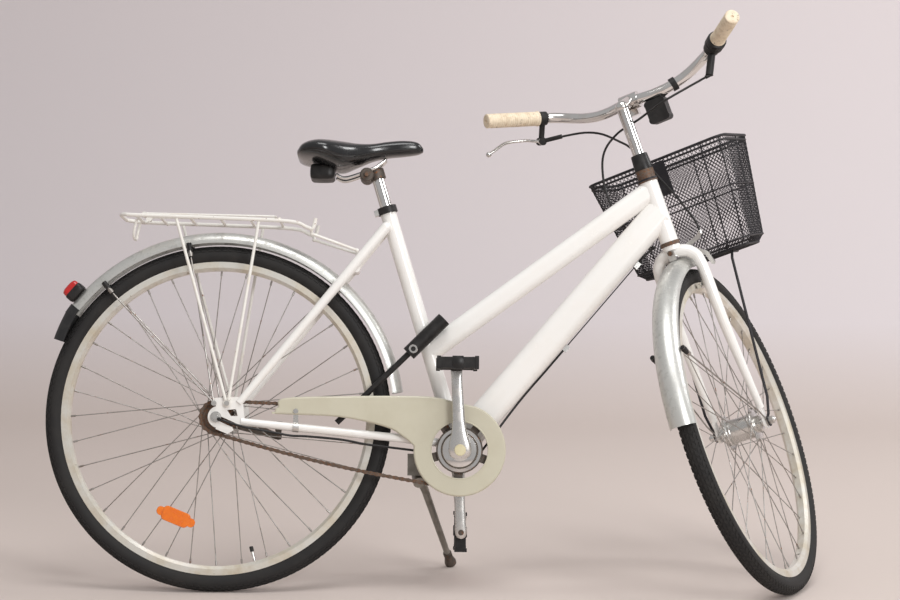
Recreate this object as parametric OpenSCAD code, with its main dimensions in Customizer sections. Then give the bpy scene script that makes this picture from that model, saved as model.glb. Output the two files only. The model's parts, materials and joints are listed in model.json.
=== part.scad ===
/* [Stance] */
// Lean of the bicycle onto its stand, in degrees
lean = 7.1; // [5:0.1:9]
// Turn of the front wheel to the left, in degrees
steer = 62; // [40:1:65]

/* [Wheels] */
// Outer diameter of both tyres
wheel_d = 700; // [690:1:704]
// Width of the tyres
tyre_w = 38; // [32:1:40]
// Thickness of the tyre casing
tyre_wall = 3.5; // [2.5:0.5:5]
// Outer diameter of the rims
rim_d = 634; // [630:1:636]
// Width of the rims
rim_w = 25; // [23:0.5:27]
// Depth of the rim section
rim_deep = 18; // [14:1:22]
// Thickness of the rim's sheet metal
rim_wall = 1.6; // [1.2:0.1:2.2]
// Spokes on each side of a wheel
side_spokes = 18; // [16:2:20]
// Diameter of a spoke
spoke_d = 2; // [1.8:0.1:2.3]
// Diameter of both wheel axles
axle_d = 10; // [9:0.5:10]
// Running clearance round every shaft
run_gap = 0.05; // [0.03:0.01:0.08]

/* [Frame] */
// Bottom bracket ahead of the rear axle
bb_x = 488; // [480:1:500]
// Bottom bracket above the ground line
bb_z = 288; // [280:1:295]
// Width of the bottom bracket shell
bb_w = 68; // [66:1:73]
// Outer diameter of the bottom bracket shell
bb_d = 44; // [42:1:48]
// Angle of the seat tube
seat_angle = 72.9; // [72:0.1:74]
// Length of the seat tube from the bottom bracket
seat_len = 521; // [500:1:540]
// Diameter of the seat tube
seat_tube_d = 33; // [32:0.5:35]
// Angle of the head tube
head_angle = 70.7; // [69:0.1:72]
// Where the steering axis crosses axle height, ahead of the rear axle
column_x = 1050; // [1040:1:1060]
// Lower end of the head tube, along the steering axis from axle height
head_low = 392; // [385:1:396]
// Length of the head tube
head_len = 132; // [125:1:145]
// Diameter of the head tube
head_tube_d = 38; // [36:0.5:40]
// Height of the top tube's section
top_tall = 45; // [40:1:50]
// Width of the top tube's section
top_wide = 33; // [28:1:36]
// Where the top tube leaves the seat tube, from the bottom bracket
top_from = 210; // [190:1:230]
// Where the top tube meets the steering axis, below the head tube's top
top_drop = 19; // [17:1:40]
// Height of the down tube's section
down_tall = 63; // [56:1:66]
// Width of the down tube's section
down_wide = 40; // [36:1:44]
// Where the down tube meets the steering axis, above the head tube's low end
down_rise = 64; // [55:1:70]
// Wall of the frame tubes
tube_wall = 2; // [1.5:0.1:3]
// Space between the rear dropouts
rear_old = 116; // [112:1:120]
// Thickness of the dropout plates
dropout_t = 6; // [5:0.5:7]
// Diameter of the seat stays at the top
stay_top_d = 22; // [18:1:23]
// Diameter of the stays at the dropouts
stay_low_d = 15; // [13:1:16]

/* [Fork and front hub] */
// Forward offset of the front axle from the steering axis
rake = 46; // [42:1:52]
// Diameter of the steerer
steerer_d = 25.4; // [25:0.1:26]
// Diameter of a fork blade at the crown
blade_top_d = 26; // [24:1:28]
// Diameter of a fork blade at the dropout
blade_low_d = 15; // [13:1:17]
// Space between the fork dropouts
front_old = 100; // [98:1:104]
// Diameter of the front hub body
front_hub_d = 52; // [44:1:54]

/* [Drive] */
// Teeth on the chainring
ring_teeth = 38; // [36:1:40]
// Teeth on the sprocket
sprocket_teeth = 16; // [16:1:18]
// Pitch of the chain
pitch = 12.7; // [12.7]
// Distance of the chain from the middle of the bicycle
chain_line = 44; // [43:0.5:45]
// Length of the cranks
crank_len = 170; // [165:2.5:170]
// Angle of the right crank at rest
crank_angle = 92.9; // [85:0.5:100]
// Length of a pedal, front to back
pedal_long = 80; // [74:1:86]
// Width of a pedal, sideways
pedal_wide = 92; // [84:1:100]
// Thickness of a pedal
pedal_thick = 27; // [22:1:30]

/* [Saddle and handlebar] */
// Diameter of the seatpost
post_d = 26; // [25:0.2:27]
// Length of seatpost that shows above the seat tube
post_out = 80; // [70:1:120]
// Length of the saddle
saddle_len = 257; // [240:1:280]
// Width of the saddle
saddle_wide = 205; // [170:1:220]
// Diameter of the handlebar
bar_d = 22.2; // [22:0.1:25]
// Diameter of the hand grips
grip_d = 31; // [28:1:34]
// Height of the handlebar clamp along the steering axis
bar_height = 703; // [690:1:720]
// Reach of the stem
stem_reach = 67; // [60:1:75]

/* [Mudguards, rack and basket] */
// Gap between the tyre and the crest of a mudguard
guard_gap = 27; // [24:1:29]
// Thickness of the mudguard sheet
guard_wall = 1.2; // [0.8:0.1:2]
// Width of the rear mudguard
rear_guard_w = 46; // [44:1:47]
// Width of the front mudguard
front_guard_w = 54; // [48:1:56]
// Width of the rack over its rails
rack_wide = 116; // [100:1:130]
// Diameter of the rack's wire
rack_wire = 8; // [6:1:9]
// Height of the rack's deck above the ground line
rack_z = 752; // [745:1:765]
// Width of the basket at the rim
basket_wide = 320; // [280:1:360]
// Depth of the basket at the rim, back to front
basket_deep = 200; // [180:1:260]
// Height of the basket's mesh wall
basket_tall = 216; // [180:1:220]
// Thickness of the basket's mesh
basket_wall = 2; // [1.5:0.5:3]

/* [Hidden] */
$fn = 48;

// Finishes
white_paint = [0.93, 0.93, 0.90];
chrome = [0.78, 0.78, 0.76];
alloy = [0.70, 0.70, 0.68];
black_plastic = [0.10, 0.10, 0.10];
rubber = [0.13, 0.13, 0.13];
dark_steel = [0.30, 0.28, 0.26];
rusty = [0.45, 0.33, 0.24];
khaki = [0.76, 0.75, 0.64];
cream = [0.88, 0.83, 0.70];
amber = [0.95, 0.45, 0.08];
vinyl = [0.08, 0.08, 0.08];

// Places worked out from the sizes
axle_z = wheel_d / 2;
tyre_r = tyre_w / 2;
crest_r = wheel_d / 2 - tyre_r;
rim_r = rim_d / 2;
rim_in_r = rim_r - rim_deep;
axle_r = axle_d / 2;
middle_x = 464.7;
middle_y = 86.5;
lift = tyre_r * (1 - cos(lean));
bb = [bb_x, 0, bb_z];
seat_up = [-cos(seat_angle), 0, sin(seat_angle)];
seat_top = bb + seat_len * seat_up;
head_up = [-cos(head_angle), 0, sin(head_angle)];
head_ahead = [sin(head_angle), 0, cos(head_angle)];
head_high = head_low + head_len;
function on_axis(s) = [column_x, 0, axle_z] + s * head_up;

// The fork is as long as it takes for the front tyre to reach the ground
hub_tilt = -cos(steer) * sin(lean) - cos(head_angle) * sin(steer) * cos(lean);
hub_height = tyre_r + crest_r * sqrt(1 - hub_tilt * hub_tilt) - lift;
rake_rise = rake * cos(steer) * cos(head_angle);
front_s = ((hub_height + rake * sin(steer) * sin(lean)) / cos(lean) - axle_z - rake_rise)
    / sin(head_angle);

function unit(v) = v / norm(v);
function middle(a, b, t) = a + (b - a) * t;
// A point of a smooth curve through chosen points
function knot(p, i) = p[max(0, min(len(p) - 1, i))];
function smooth_at(a, b, c, d, t) =
    0.5 * (2 * b + (c - a) * t + (2 * a - 5 * b + 4 * c - d) * t * t + (3 * b - a - 3 * c + d)
        * t * t * t);
function smooth(p, n) = concat(
    [for (i = [0 : len(p) - 2]) for (j = [0 : n - 1])
        smooth_at(knot(p, i - 1), p[i], p[i + 1], knot(p, i + 2), j / n)],
    [p[len(p) - 1]]);
function bend(a, b, c, d, n) = [for (i = [0 : n]) let (t = i / n, s = 1 - t)
    s * s * s * a + 3 * s * s * t * b + 3 * s * t * t * c + t * t * t * d];
function heading(p, i) = i == 0 ? unit(p[1] - p[0])
    : i == len(p) - 1 ? unit(p[i] - p[i - 1]) : unit(unit(p[i + 1] - p[i]) + unit(p[i] - p[i - 1]));

// The bicycle's own frame leans onto the stand
module standing() translate([-middle_x, -middle_y, lift]) rotate([-lean, 0, 0]) children();
// The steering axis as local z, ahead as local x, before the bar is turned
module column() translate([column_x, 0, axle_z]) rotate([0, head_angle - 90, 0]) children();
// What turns with the fork
module steered() standing() column() rotate([0, 0, steer]) children();
module at_rear_axle() standing() translate([0, 0, axle_z]) children();
module at_front_axle() steered() translate([rake, 0, front_s]) children();
module at_bb() standing() translate(bb) children();

// Own axes given by where x and z point
module placed(o, x, z) {
    y = cross(z, x);
    multmatrix([[x[0], y[0], z[0], o[0]], [x[1], y[1], z[1], o[1]], [x[2], y[2], z[2], o[2]], [0, 0,
        0, 1]])
        children();
}
// A round bar from a to b, ra thick at a and rb at b
module bar(a, b, ra, rb) {
    v = b - a;
    translate(a) rotate([0, acos(v[2] / norm(v)), atan2(v[1], v[0])]) cylinder(h = norm(v), r1 = ra,
        r2 = rb);
}
module rod(a, b, r) {
    v = b - a;
    translate(a) rotate([0, acos(v[2] / norm(v)), atan2(v[1], v[0])]) cylinder(h = norm(v), r = r);
}
// A disc or pin across the bicycle, between y0 and y1
module across(r, y0, y1) translate([0, max(y0, y1), 0]) rotate([90, 0, 0]) cylinder(h = abs(y1 - y0),
    r = r);
module tube_across(r, bore, y0, y1) difference() {
    across(r, y0, y1);
    across(bore, min(y0, y1) - 1, max(y0, y1) + 1);
}
// Turns a section of [radius, side] about the wheel's axle
module hoop(angle = 360) rotate([90, 0, 0]) rotate_extrude(angle = angle, $fn = 96) children();
// A bent wire or tube swept along points; tapered() takes points of [x, y, z, radius]
module sweep(path, r, sides = 8, side_on = [0, 1, 0])
    tapered([for (p = path) [p[0], p[1], p[2], r]], sides, side_on);
module tapered(path, sides = 12, side_on = [0, 1, 0]) {
    n = len(path);
    places = [for (q = path) [q[0], q[1], q[2]]];
    points = [for (i = [0 : n - 1])
        let (t = heading(places, i), u = unit(cross(t, side_on)), w = cross(t, u), r = path[i][3])
        for (k = [0 : sides - 1]) places[i] + r * (cos(360 * k / sides) * u + sin(360 * k / sides) * w)];
    polyhedron(points, faces_of(n, sides));
}
function faces_of(n, m) = concat(
    [[for (k = [0 : m - 1]) k]],
    [[for (k = [m - 1 : -1 : 0]) (n - 1) * m + k]],
    [for (i = [0 : n - 2]) for (k = [0 : m - 1]) let (a = i * m + k, b = i * m + (k + 1) % m) [a,
        b + m, b]],
    [for (i = [0 : n - 2]) for (k = [0 : m - 1]) let (a = i * m + k, b = i * m + (k + 1) % m) [a,
        a + m, b + m]]);
module hex_nut(af, h, bore) difference() {
    cylinder(h = h, r = af / sqrt(3), $fn = 6);
    translate([0, 0, -1]) cylinder(h = h + 2, r = bore);
}

// Frame tubes
module oval(tall, wide) {
    square([tall - wide, wide], center = true);
    for (s = [-1, 1]) translate([s * (tall - wide) / 2, 0]) circle(d = wide);
}
module oval_tube(a, b, tall, wide) {
    v = b - a;
    translate(a) rotate([0, atan2(v[0], v[2]), 0]) linear_extrude(norm(v)) oval(tall, wide);
}
module head_solid() rod(on_axis(head_low), on_axis(head_high), head_tube_d / 2);
module seat_solid() rod(bb, seat_top, seat_tube_d / 2);
module shell_solid() translate(bb) across(bb_d / 2, -bb_w / 2, bb_w / 2);
down_a = bb + [0, 0, 8];
down_b = on_axis(head_low + down_rise);
top_a = bb + top_from * seat_up;
top_b = on_axis(head_high - top_drop);
cup_bore = steerer_d / 2 + run_gap;
spigot_r = head_tube_d / 2 - 3;
shell_bore = bb_d / 2 - 4.5;

module head_tube() color(white_paint) standing() difference() {
    head_solid();
    rod(on_axis(head_low - 1), on_axis(head_high + 1), spigot_r);
}
module down_tube() color(white_paint) standing() difference() {
    oval_tube(down_a, down_b, down_tall, down_wide);
    oval_tube(down_a, down_b, down_tall - 2 * tube_wall, down_wide - 2 * tube_wall);
    head_solid();
    seat_solid();
    shell_solid();
}
module top_tube() color(white_paint) standing() difference() {
    oval_tube(top_a, top_b, top_tall, top_wide);
    oval_tube(top_a, top_b, top_tall - 2 * tube_wall, top_wide - 2 * tube_wall);
    head_solid();
    rod(on_axis(head_high - 0.1), on_axis(head_high + 60), head_tube_d / 2 + 2);
    seat_solid();
    oval_tube(down_a, down_b, down_tall, down_wide);
}
post_bore = post_d / 2 + run_gap;
bore_floor = 60;
module seat_tube() color(white_paint) standing() difference() {
    union() {
        seat_solid();
        shell_solid();
    }
    rod(bb + bore_floor * seat_up, seat_top + seat_up, post_bore);
    translate(bb) across(shell_bore, -bb_w / 2 - 1, bb_w / 2 + 1);
}

// Stays: from the dropouts to the seat tube and to the bottom bracket
stay_y = rear_old / 2 + dropout_t / 2;
stay_head = bb + (seat_len - 47) * seat_up;
stay_spread = seat_tube_d / 2 + 3.5;
stay_behind = 14;
stay_foot = [45, stay_y, 378];
bridge_at = 0.76;
module seat_stays() color(white_paint) standing() difference() {
    union() {
        for (s = [-1, 1]) {
            foot = [stay_foot[0], s * stay_foot[1], stay_foot[2]];
            top = [stay_head[0] - stay_behind, s * stay_spread, stay_head[2]];
            bar(foot, top, stay_low_d / 2, stay_top_d / 2);
            translate(top) sphere(stay_top_d / 2);
        }
        bridge = middle(stay_foot, [stay_head[0], stay_spread, stay_head[2]], bridge_at);
        rod([bridge[0], -bridge[1], bridge[2]], bridge, 7);
    }
    seat_solid();
}
chain_foot = [50, stay_y, 341];
chain_waist = [250, 44, 322];
chain_mid = [bb_x - 108, 35.5, 310];
chain_head = [bb_x - 18, 26, 300];
waist_r = 8.5;
function chain_stay(s, more) = [for (q = [[chain_foot, stay_low_d / 2], [chain_waist, waist_r],
    [chain_mid, waist_r],
    [chain_head, waist_r]]) [q[0][0], s * q[0][1], q[0][2], q[1] + more]];
module chain_stays() color(white_paint) standing() difference() {
    for (s = [-1, 1]) tapered(chain_stay(s, 0), 16);
    translate(bb) across(bb_d / 2, -bb_w / 2 - 6, bb_w / 2 + 6);
    seat_solid();
    oval_tube(down_a, down_b, down_tall, down_wide);
    rear_plates();
}
// Dropout plate: slot open forward, with lugs for both stays
module rear_plate_outline() difference() {
    union() {
        translate([6, 0]) circle(22);
        polygon([[0, 22], [-14, 34], [-4, 38], [44, 40], [54, 26], [58, -8], [50, -20], [16, -20],
            [-12, -10]]);
        polygon([[4, -8], [30, -14], [36, -26], [24, -34], [0, -24]]);
    }
    circle(axle_r + run_gap);
    rotate(-24) translate([0, -axle_r - run_gap]) square([60, 2 * (axle_r + run_gap)]);
    polygon([[22, 14], [40, 16], [44, 2], [30, 2]]);
    for (eye = [lug_low, lug_high]) translate(eye) circle(2.6);
}
lug_low = [-4, 27];
lug_high = [22, 27];
module rear_plates() for (s = [-1, 1]) translate([0, s * stay_y + dropout_t / 2, axle_z])
    rotate([90, 0, 0]) linear_extrude(dropout_t) rear_plate_outline();
module rear_dropouts() color(white_paint) standing() difference() {
    rear_plates();
    for (s = [-1, 1]) {
        foot = [stay_foot[0], s * stay_foot[1], stay_foot[2]];
        bar(foot, [stay_head[0] - stay_behind, s * stay_spread, stay_head[2]], stay_low_d / 2,
            stay_top_d / 2);
    }
}

// Bearing cups pressed into the head tube and the bottom bracket shell
cup_h = 8;
spindle_r = 8.5;
module bearing_cups() color(dark_steel) standing() {
    for (end = [0, 1]) {
        rim = end == 0 ? head_low - cup_h : head_high;
        deep = end == 0 ? head_low : head_high - 12;
        difference() {
            union() {
                rod(on_axis(rim), on_axis(rim + (end == 0 ? cup_h : 3)), head_tube_d / 2 + 1.5);
                rod(on_axis(deep), on_axis(deep + 12), spigot_r);
            }
            rod(on_axis(rim - 20), on_axis(rim + 30), cup_bore);
        }
    }
    for (s = [-1, 1]) translate(bb) difference() {
        union() {
            across(bb_d / 2 - 1, s * bb_w / 2, s * (bb_w / 2 + 3));
            across(shell_bore, s * (bb_w / 2 - 14), s * bb_w / 2);
        }
        across(spindle_r + run_gap, s * (bb_w / 2 - 20), s * (bb_w / 2 + 8));
    }
}

// Rear axle with its cones, and the outside nuts
cone_r = 8;
hub_half = 36;
axle_out = 16;
axle_end_r = axle_r - 0.5;
axle_end_l = 6;
module rear_axle() color(alloy) at_rear_axle() {
    across(axle_r, -rear_old / 2 - dropout_t - axle_out, rear_old / 2 + dropout_t + axle_out - axle_end_l);
    across(axle_end_r, rear_old / 2, rear_old / 2 + dropout_t + axle_out);
    for (s = [-1, 1]) tube_across(cone_r, axle_r, s * (hub_half + 0.4), s * rear_old / 2);
}

// Coaster brake arm on the left, strapped to the chain stay
arm_t = 3;
arm_end = [118, -37];
cap_out = hub_half + 7.6;
module coaster_brake_arm() color(alloy) at_rear_axle() {
    difference() {
        union() {
            across(17, hub_half + 0.4, cap_out);
            translate([0, cap_out + arm_t, 0]) rotate([90, 0, 0]) linear_extrude(arm_t) {
                circle(16);
                polygon([[2, 15], arm_end + [0, 7], arm_end - [0, 7], [2, -15]]);
                translate(arm_end) circle(7);
            }
        }
        across(cone_r + run_gap, hub_half, cap_out + arm_t + 1);
    }
    strap_a = [arm_end[0] - 6, 55.6, -15.4];
    strap_b = [arm_end[0] + 6, 54.6, -16.5];
    difference() {
        union() {
            rod(strap_a, strap_b, 10.4);
            translate([arm_end[0] - 6, cap_out + arm_t + 0.1, arm_end[1] - 6]) cube([12, 2.5, 20]);
        }
        rod(middle(strap_b, strap_a, 2), middle(strap_a, strap_b, 2), 8.5);
    }
    translate([arm_end[0], 0, arm_end[1]]) across(5, cap_out - 4, cap_out - 0.1);
}

// Nuts, bolts, clips and cable guides of the frame
eye_y = rear_old / 2 + dropout_t + 0.3;
eye_t = 3.6;
bolt_r = 2.5;
collar_h = 14;
guard_screw = [159, -52.5, 363];
guard_y = chain_line + 12;
module eye_bolt(at, s) translate([at[0], 0, axle_z + at[1]]) {
    across(5, s * (eye_y + eye_t + 0.1), s * (eye_y + eye_t + 4));
    across(bolt_r, s * (rear_old / 2 - 1), s * (eye_y + eye_t + 1));
}
module frame_fasteners() color(alloy) standing() {
    for (s = [-1, 1]) {
        at = rear_old / 2 + dropout_t;
        translate([0, 0, axle_z]) tube_across(11, axle_r + run_gap, s * (at + 0.05), s * (at + 1.5));
        translate([0, s * (at + 1.55), axle_z]) rotate([-90 * s, 0, 0]) hex_nut(15, 8, axle_r + run_gap);
        eye_bolt(lug_low, s);
        eye_bolt(lug_high, s);
    }
    seat_collar();
    guard_strap();
    cable_guide(guide_low);
    cable_guide(guide_high);
}
module seat_collar() {
    low = seat_top - (collar_h + 1) * seat_up;
    high = seat_top - seat_up;
    difference() {
        union() {
            rod(low, high, seat_tube_d / 2 + 3.5);
            placed(middle(low, high, 0.5), unit(cross([0, 1, 0], seat_up)), seat_up)
                translate([-seat_tube_d / 2 - 11, -8, -6]) cube([12, 16, 12]);
        }
        rod(low - 5 * seat_up, high + 5 * seat_up, seat_tube_d / 2 + run_gap);
    }
}
module guard_strap() {
    a = [guard_screw[0] - 6, -52.2, 331.1];
    b = [guard_screw[0] + 6, -51.2, 330];
    difference() {
        union() {
            rod(a, b, 10);
            translate([guard_screw[0] - 5, guard_screw[1] - 1.5, 336]) cube([10, 2.4, 32]);
        }
        rod(middle(b, a, 2), middle(a, b, 2), 8.45);
    }
    translate([guard_screw[0], 0, guard_screw[2]]) across(5, -guard_y - 2.1, -guard_y - 4.5);
    translate([guard_screw[0], 0, guard_screw[2]]) across(2, guard_screw[1] - 1.6, -guard_y - 2.2);
}
down_dir = unit(down_b - down_a);
down_below = cross(down_dir, [0, -1, 0]);
guide_low = down_a + 295 * down_dir + (down_tall / 2 + 3) * down_below;
guide_high = down_a + 522 * down_dir + (down_tall / 2 + 3) * down_below;
module cable_guide(at) placed(at, [0, 1, 0], down_dir) difference() {
    translate([-4, -6.5, -7]) cube([8, 9, 14]);
    cylinder(h = 40, r = 2.6, center = true);
}

// Chain guard: a tray over the chain with an open middle
guard_r = 93;
guard_hole = 58;
guard_sheet = 1.8;
guard_lip = 11;
module guard_outline() {
    circle(guard_r);
    polygon([[-368, 69], [-365, 84], [-354, 101], [-241, 106], [-88, 108], [-40, 104], [24, 89.8], [0, 0],
        [-92.5, 8], [-116, 27], [-150, 45], [-241, 64]]);
}
module chain_guard() color(khaki) at_bb() difference() {
    union() {
        translate([0, -guard_y, 0]) rotate([90, 0, 0]) linear_extrude(guard_sheet) difference() {
            guard_outline();
            circle(guard_hole);
            translate([guard_screw[0] - bb_x, guard_screw[2] - bb_z]) circle(2.5);
        }
        translate([0, -guard_y + guard_lip, 0]) rotate([90, 0, 0]) linear_extrude(guard_lip) difference() {
            guard_outline();
            offset(delta = -guard_sheet) guard_outline();
        }
    }
    // The strap and the two runs of chain pass out of the lip here
    translate([guard_screw[0] - bb_x - 7, -guard_y + 0.1, 60]) cube([14, guard_lip + 1, 14]);
    translate([0, -guard_y + guard_lip + 1, 0]) rotate([90, 0, 0]) linear_extrude(guard_lip + 0.9) {
        polygon([[-20, -30], [-60, -96], [-100, -50]]);
        polygon([[-372, 72], [-372, 99], [-352, 97], [-352, 72]]);
    }
}

// Kickstand: bracket under the chain stays, and its leg
pivot = [403, 47, 243];
foot_out = 288;
foot_ahead = 485;
foot_up = foot_out * sin(lean) / cos(lean);
fold_to = unit([-1, 0.16, 0]);
stand_foot = [foot_ahead, foot_out, foot_up];
stand_dir = unit(stand_foot - pivot);
swing_plane = unit(stand_dir - fold_to);
pin_guess = [0, 0.87, 0.45];
pin_dir = unit(pin_guess - (pin_guess * swing_plane) * swing_plane);
lug_r = 12;
lug_half = 9;
pin_r = 5;
module kickstand_bracket() color(dark_steel) standing() {
    difference() {
        union() {
            translate([bb_x - 104, -16, 236]) cube([46, 32, 44]);
            translate([bb_x - 104, -22, 272]) cube([46, 44, 8]);
        }
        chain_stay_space();
    }
    translate([bb_x - 98, -19, 317]) cube([32, 38, 6]);
    translate([bb_x - 82, 0, 270]) cylinder(h = 60, r = 4);
    difference() {
        union() {
            rod(pivot - 42 * pin_dir, pivot - (lug_half + 0.3) * pin_dir, lug_r);
            rod(pivot - 10 * pin_dir, pivot + (lug_half + 1) * pin_dir, pin_r);
            rod(pivot + (lug_half + 0.3) * pin_dir, pivot + (lug_half + 4) * pin_dir, 8);
        }
        chain_stay_space();
    }
}
module chain_stay_space() for (s = [-1, 1]) tapered(chain_stay(s, 0.3), 16);
leg_r = 8;
foot_r = 12;
knee = middle(pivot, stand_foot, 0.2) + [2, 14, 4];
ankle = stand_foot - 34 * unit(stand_foot - knee);
module kickstand_leg() color(alloy) standing() {
    difference() {
        union() {
            rod(pivot - lug_half * pin_dir, pivot + lug_half * pin_dir, lug_r);
            rod(pivot + 10 * stand_dir, knee, leg_r);
        }
        rod(pivot - 20 * pin_dir, pivot + 20 * pin_dir, pin_r + run_gap);
        rod(pivot + lug_half * pin_dir, pivot + (lug_half + 8) * pin_dir, 9);
    }
    translate(knee) sphere(leg_r + 0.6);
    rod(knee, ankle, leg_r);
    // Rubber foot, cut flat where it stands on the ground
    difference() {
        bar(ankle - 14 * unit(ankle - knee), stand_foot + 8 * unit(stand_foot - knee), foot_r - 2, foot_r);
        rod(knee, ankle, leg_r);
        rotate([lean, 0, 0]) translate([0, 0, -lift - 50]) cube([4000, 4000, 100], center = true);
    }
}

// Mudguards
function guard_crest() = wheel_d / 2 + guard_gap + guard_wall;
module guard_section(w, c, t) difference() {
    translate([c, 0]) circle(w / 2);
    translate([c, 0]) circle(w / 2 - t);
    translate([c - 2 * w, -w]) square([2 * w, 2 * w]);
}
module arc_of(a0, a1) rotate([90, 0, 0]) rotate([0, 0, a0]) rotate_extrude(angle = a1 - a0, $fn = 96)
    children();
rear_from = 8.4;
rear_to = 145;
rear_c = guard_crest() - rear_guard_w / 2;
module rear_mudguard() color(alloy) at_rear_axle()
    arc_of(rear_from, rear_to) guard_section(rear_guard_w, rear_c, guard_wall);
flap_t = 2;
flap_over = 2;
module flap_section() guard_section(rear_guard_w + 2 * flap_t + 0.4, rear_c, flap_t);
module mudflap() color(rubber) at_rear_axle() {
    at = guard_crest() * [cos(rear_to), 0, sin(rear_to)];
    arc_of(rear_to - flap_over, rear_to + 1.2) flap_section();
    translate(at) rotate([0, -7, 0]) translate(-at) arc_of(rear_to + 0.6, rear_to + 10) flap_section();
}
boot_r = 5;
wire_r = 1.7;
rear_boots = [100.5, 131];
wire_bend = 40;
module boot_and_wire(angle, s, w, c, eye) {
    r = c + 4;
    at = [r * cos(angle), s * (w / 2 + boot_r + 0.2), r * sin(angle)];
    down = [(c - 24) * cos(angle), s * (w / 2 + boot_r + 1), (c - 24) * sin(angle)];
    rod(at, down, boot_r);
    straight = eye + wire_bend * unit([down[0] - eye[0], 0, down[2] - eye[2]]) + [0, s * 0.4, 0];
    sweep([middle(at, down, 0.9), middle(down, straight, 0.06), middle(down, straight, 0.9),
        straight, eye], wire_r);
}
module eye_ring(at, s, r = 5) translate([at[0], 0, at[1]]) difference() {
    across(r, s * eye_y, s * (eye_y + eye_t));
    across(bolt_r + 0.1, s * (eye_y - 1), s * (eye_y + eye_t + 1));
}
module rear_mudguard_stays() color(dark_steel) at_rear_axle() for (s = [-1, 1]) {
    eye = [lug_low[0], s * (eye_y + eye_t / 2), lug_low[1]];
    for (a = rear_boots) {
        to = eye + 4.5 * unit([cos(a), 0, sin(a)]);
        boot_and_wire(a, s, rear_guard_w, rear_c, to);
    }
    eye_ring(lug_low, s);
}

// Rear lamp on the mudguard
lamp_at = 139.6;
lamp_r = guard_crest();
module rear_lamp() color(black_plastic) at_rear_axle() rotate([0, -lamp_at, 0]) translate([lamp_r, 0, 0]) {
    difference() {
        translate([0.3, -19, -20]) cube([18, 38, 40]);
        translate([-lamp_r, 0, 0]) arc_of(-5, 5) translate([rear_c, 0]) circle(rear_guard_w / 2 + 0.3);
    }
    // Lens
    color(amber) translate([18.3, 0, 0]) rotate([0, 90, 0]) cylinder(h = 13, r = 18);
}

// Rack of bent wire over the rear wheel
rail_y = rack_wide / 2;
wire_half = rack_wire / 2;
rail_front = 193;
rail_back = -202;
stay_tops = [-88, 78];
rack_eye_y = eye_y + wire_half - 0.8;
rack_eye_r = 8;
deck_bars = [-120, -60, 0, 60, 120];
function rail(s) = [[rail_front, s * rail_y, rack_z + 1], [rail_front - 6, s * rail_y, rack_z - 20],
    [rail_front - 19, s * rail_y, rack_z - 17], [rail_front - 54, s * rail_y, rack_z - 6],
    [0, s * rail_y, rack_z - 1], [rail_back + 40, s * rail_y, rack_z + 3],
    [rail_back + 10, s * (rail_y - 6), rack_z + 5], [rail_back, s * (rail_y - 22), rack_z + 5]];
module rack() color(white_paint) standing() {
    for (s = [-1, 1]) {
        sweep(smooth(rail(s), 4), wire_half, 10, [0, 0.3, 1]);
        for (x = stay_tops) {
            top = [x, s * (rail_y - 1), rack_z - wire_half + (x > 0 ? -3 : 1)];
            low = [lug_high[0] + (x > 0 ? 3 : -3), s * rack_eye_y, axle_z + lug_high[1] + rack_eye_r - 1];
            rod(top, low, wire_half - 0.8);
        }
        translate([0, 0, axle_z]) eye_ring(lug_high, s, rack_eye_r);
        link_bar(s);
    }
    for (x = deck_bars) rod([x, -rail_y, rack_z - 1], [x, rail_y, rack_z - 1], 3);
    rod([rail_back, -rail_y + 24, rack_z + 5], [rail_back, rail_y - 24, rack_z + 5], wire_half);
    sweep(smooth([[-172, -24, rack_z - 1], [-177, -24, rack_z - 24], [-178, -16, rack_z - 38],
        [-178, 16, rack_z - 38], [-177, 24, rack_z - 24], [-172, 24, rack_z - 1]], 4), 3, 8, [1, 0, 0]);
    rod([-168, -rail_y, rack_z + 2], [-168, rail_y, rack_z + 2], 3.4);
}
// Flat link from the rack's front to a lug behind the seat stay
link_bolt = [276, 24, 692];
module link_bar(s) {
    back = [rail_front - 8, s * (rail_y - 6), rack_z - 30];
    front = [link_bolt[0], s * (link_bolt[1] + 6.5), link_bolt[2]];
    rod([rail_front - 8, s * rail_y, rack_z - 20], back, 3);
    rod(back, front, 3);
    translate(back) sphere(3.9);
    translate(front) sphere(4.5);
}
clip_hinge = [-155, 0, rack_z + wire_half + 3];
clip_r = 2.2;
module rack_spring_clip() color(rusty) standing() {
    z = clip_hinge[2];
    for (s = [-1, 1]) {
        translate([clip_hinge[0], 0, z]) across(6, s * 26, s * 38);
        sweep(smooth([[clip_hinge[0], s * 30, z + 3.4], [-100, s * 29, z + 3], [20, s * 26, z + 2],
            [96, s * 20, z + 2], [108, s * 8, z + 3], [110, 0, z + 3]], 3), clip_r, 8, [0, 0, 1]);
    }
    sphere_at = [110, 0, z + 3];
    translate(sphere_at) sphere(clip_r);
}

// Lock carried at the seat tube
lock_side = -seat_tube_d / 2 - 15.4;
lock_low = [384, lock_side, 482];
lock_high = [455, lock_side, 553];
lock_tip = [240, lock_side + 2, 341];
module bar_lock() color(black_plastic) standing() {
    rod(lock_low, lock_high, 15);
    rod(lock_low, lock_tip, 6);
}

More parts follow.
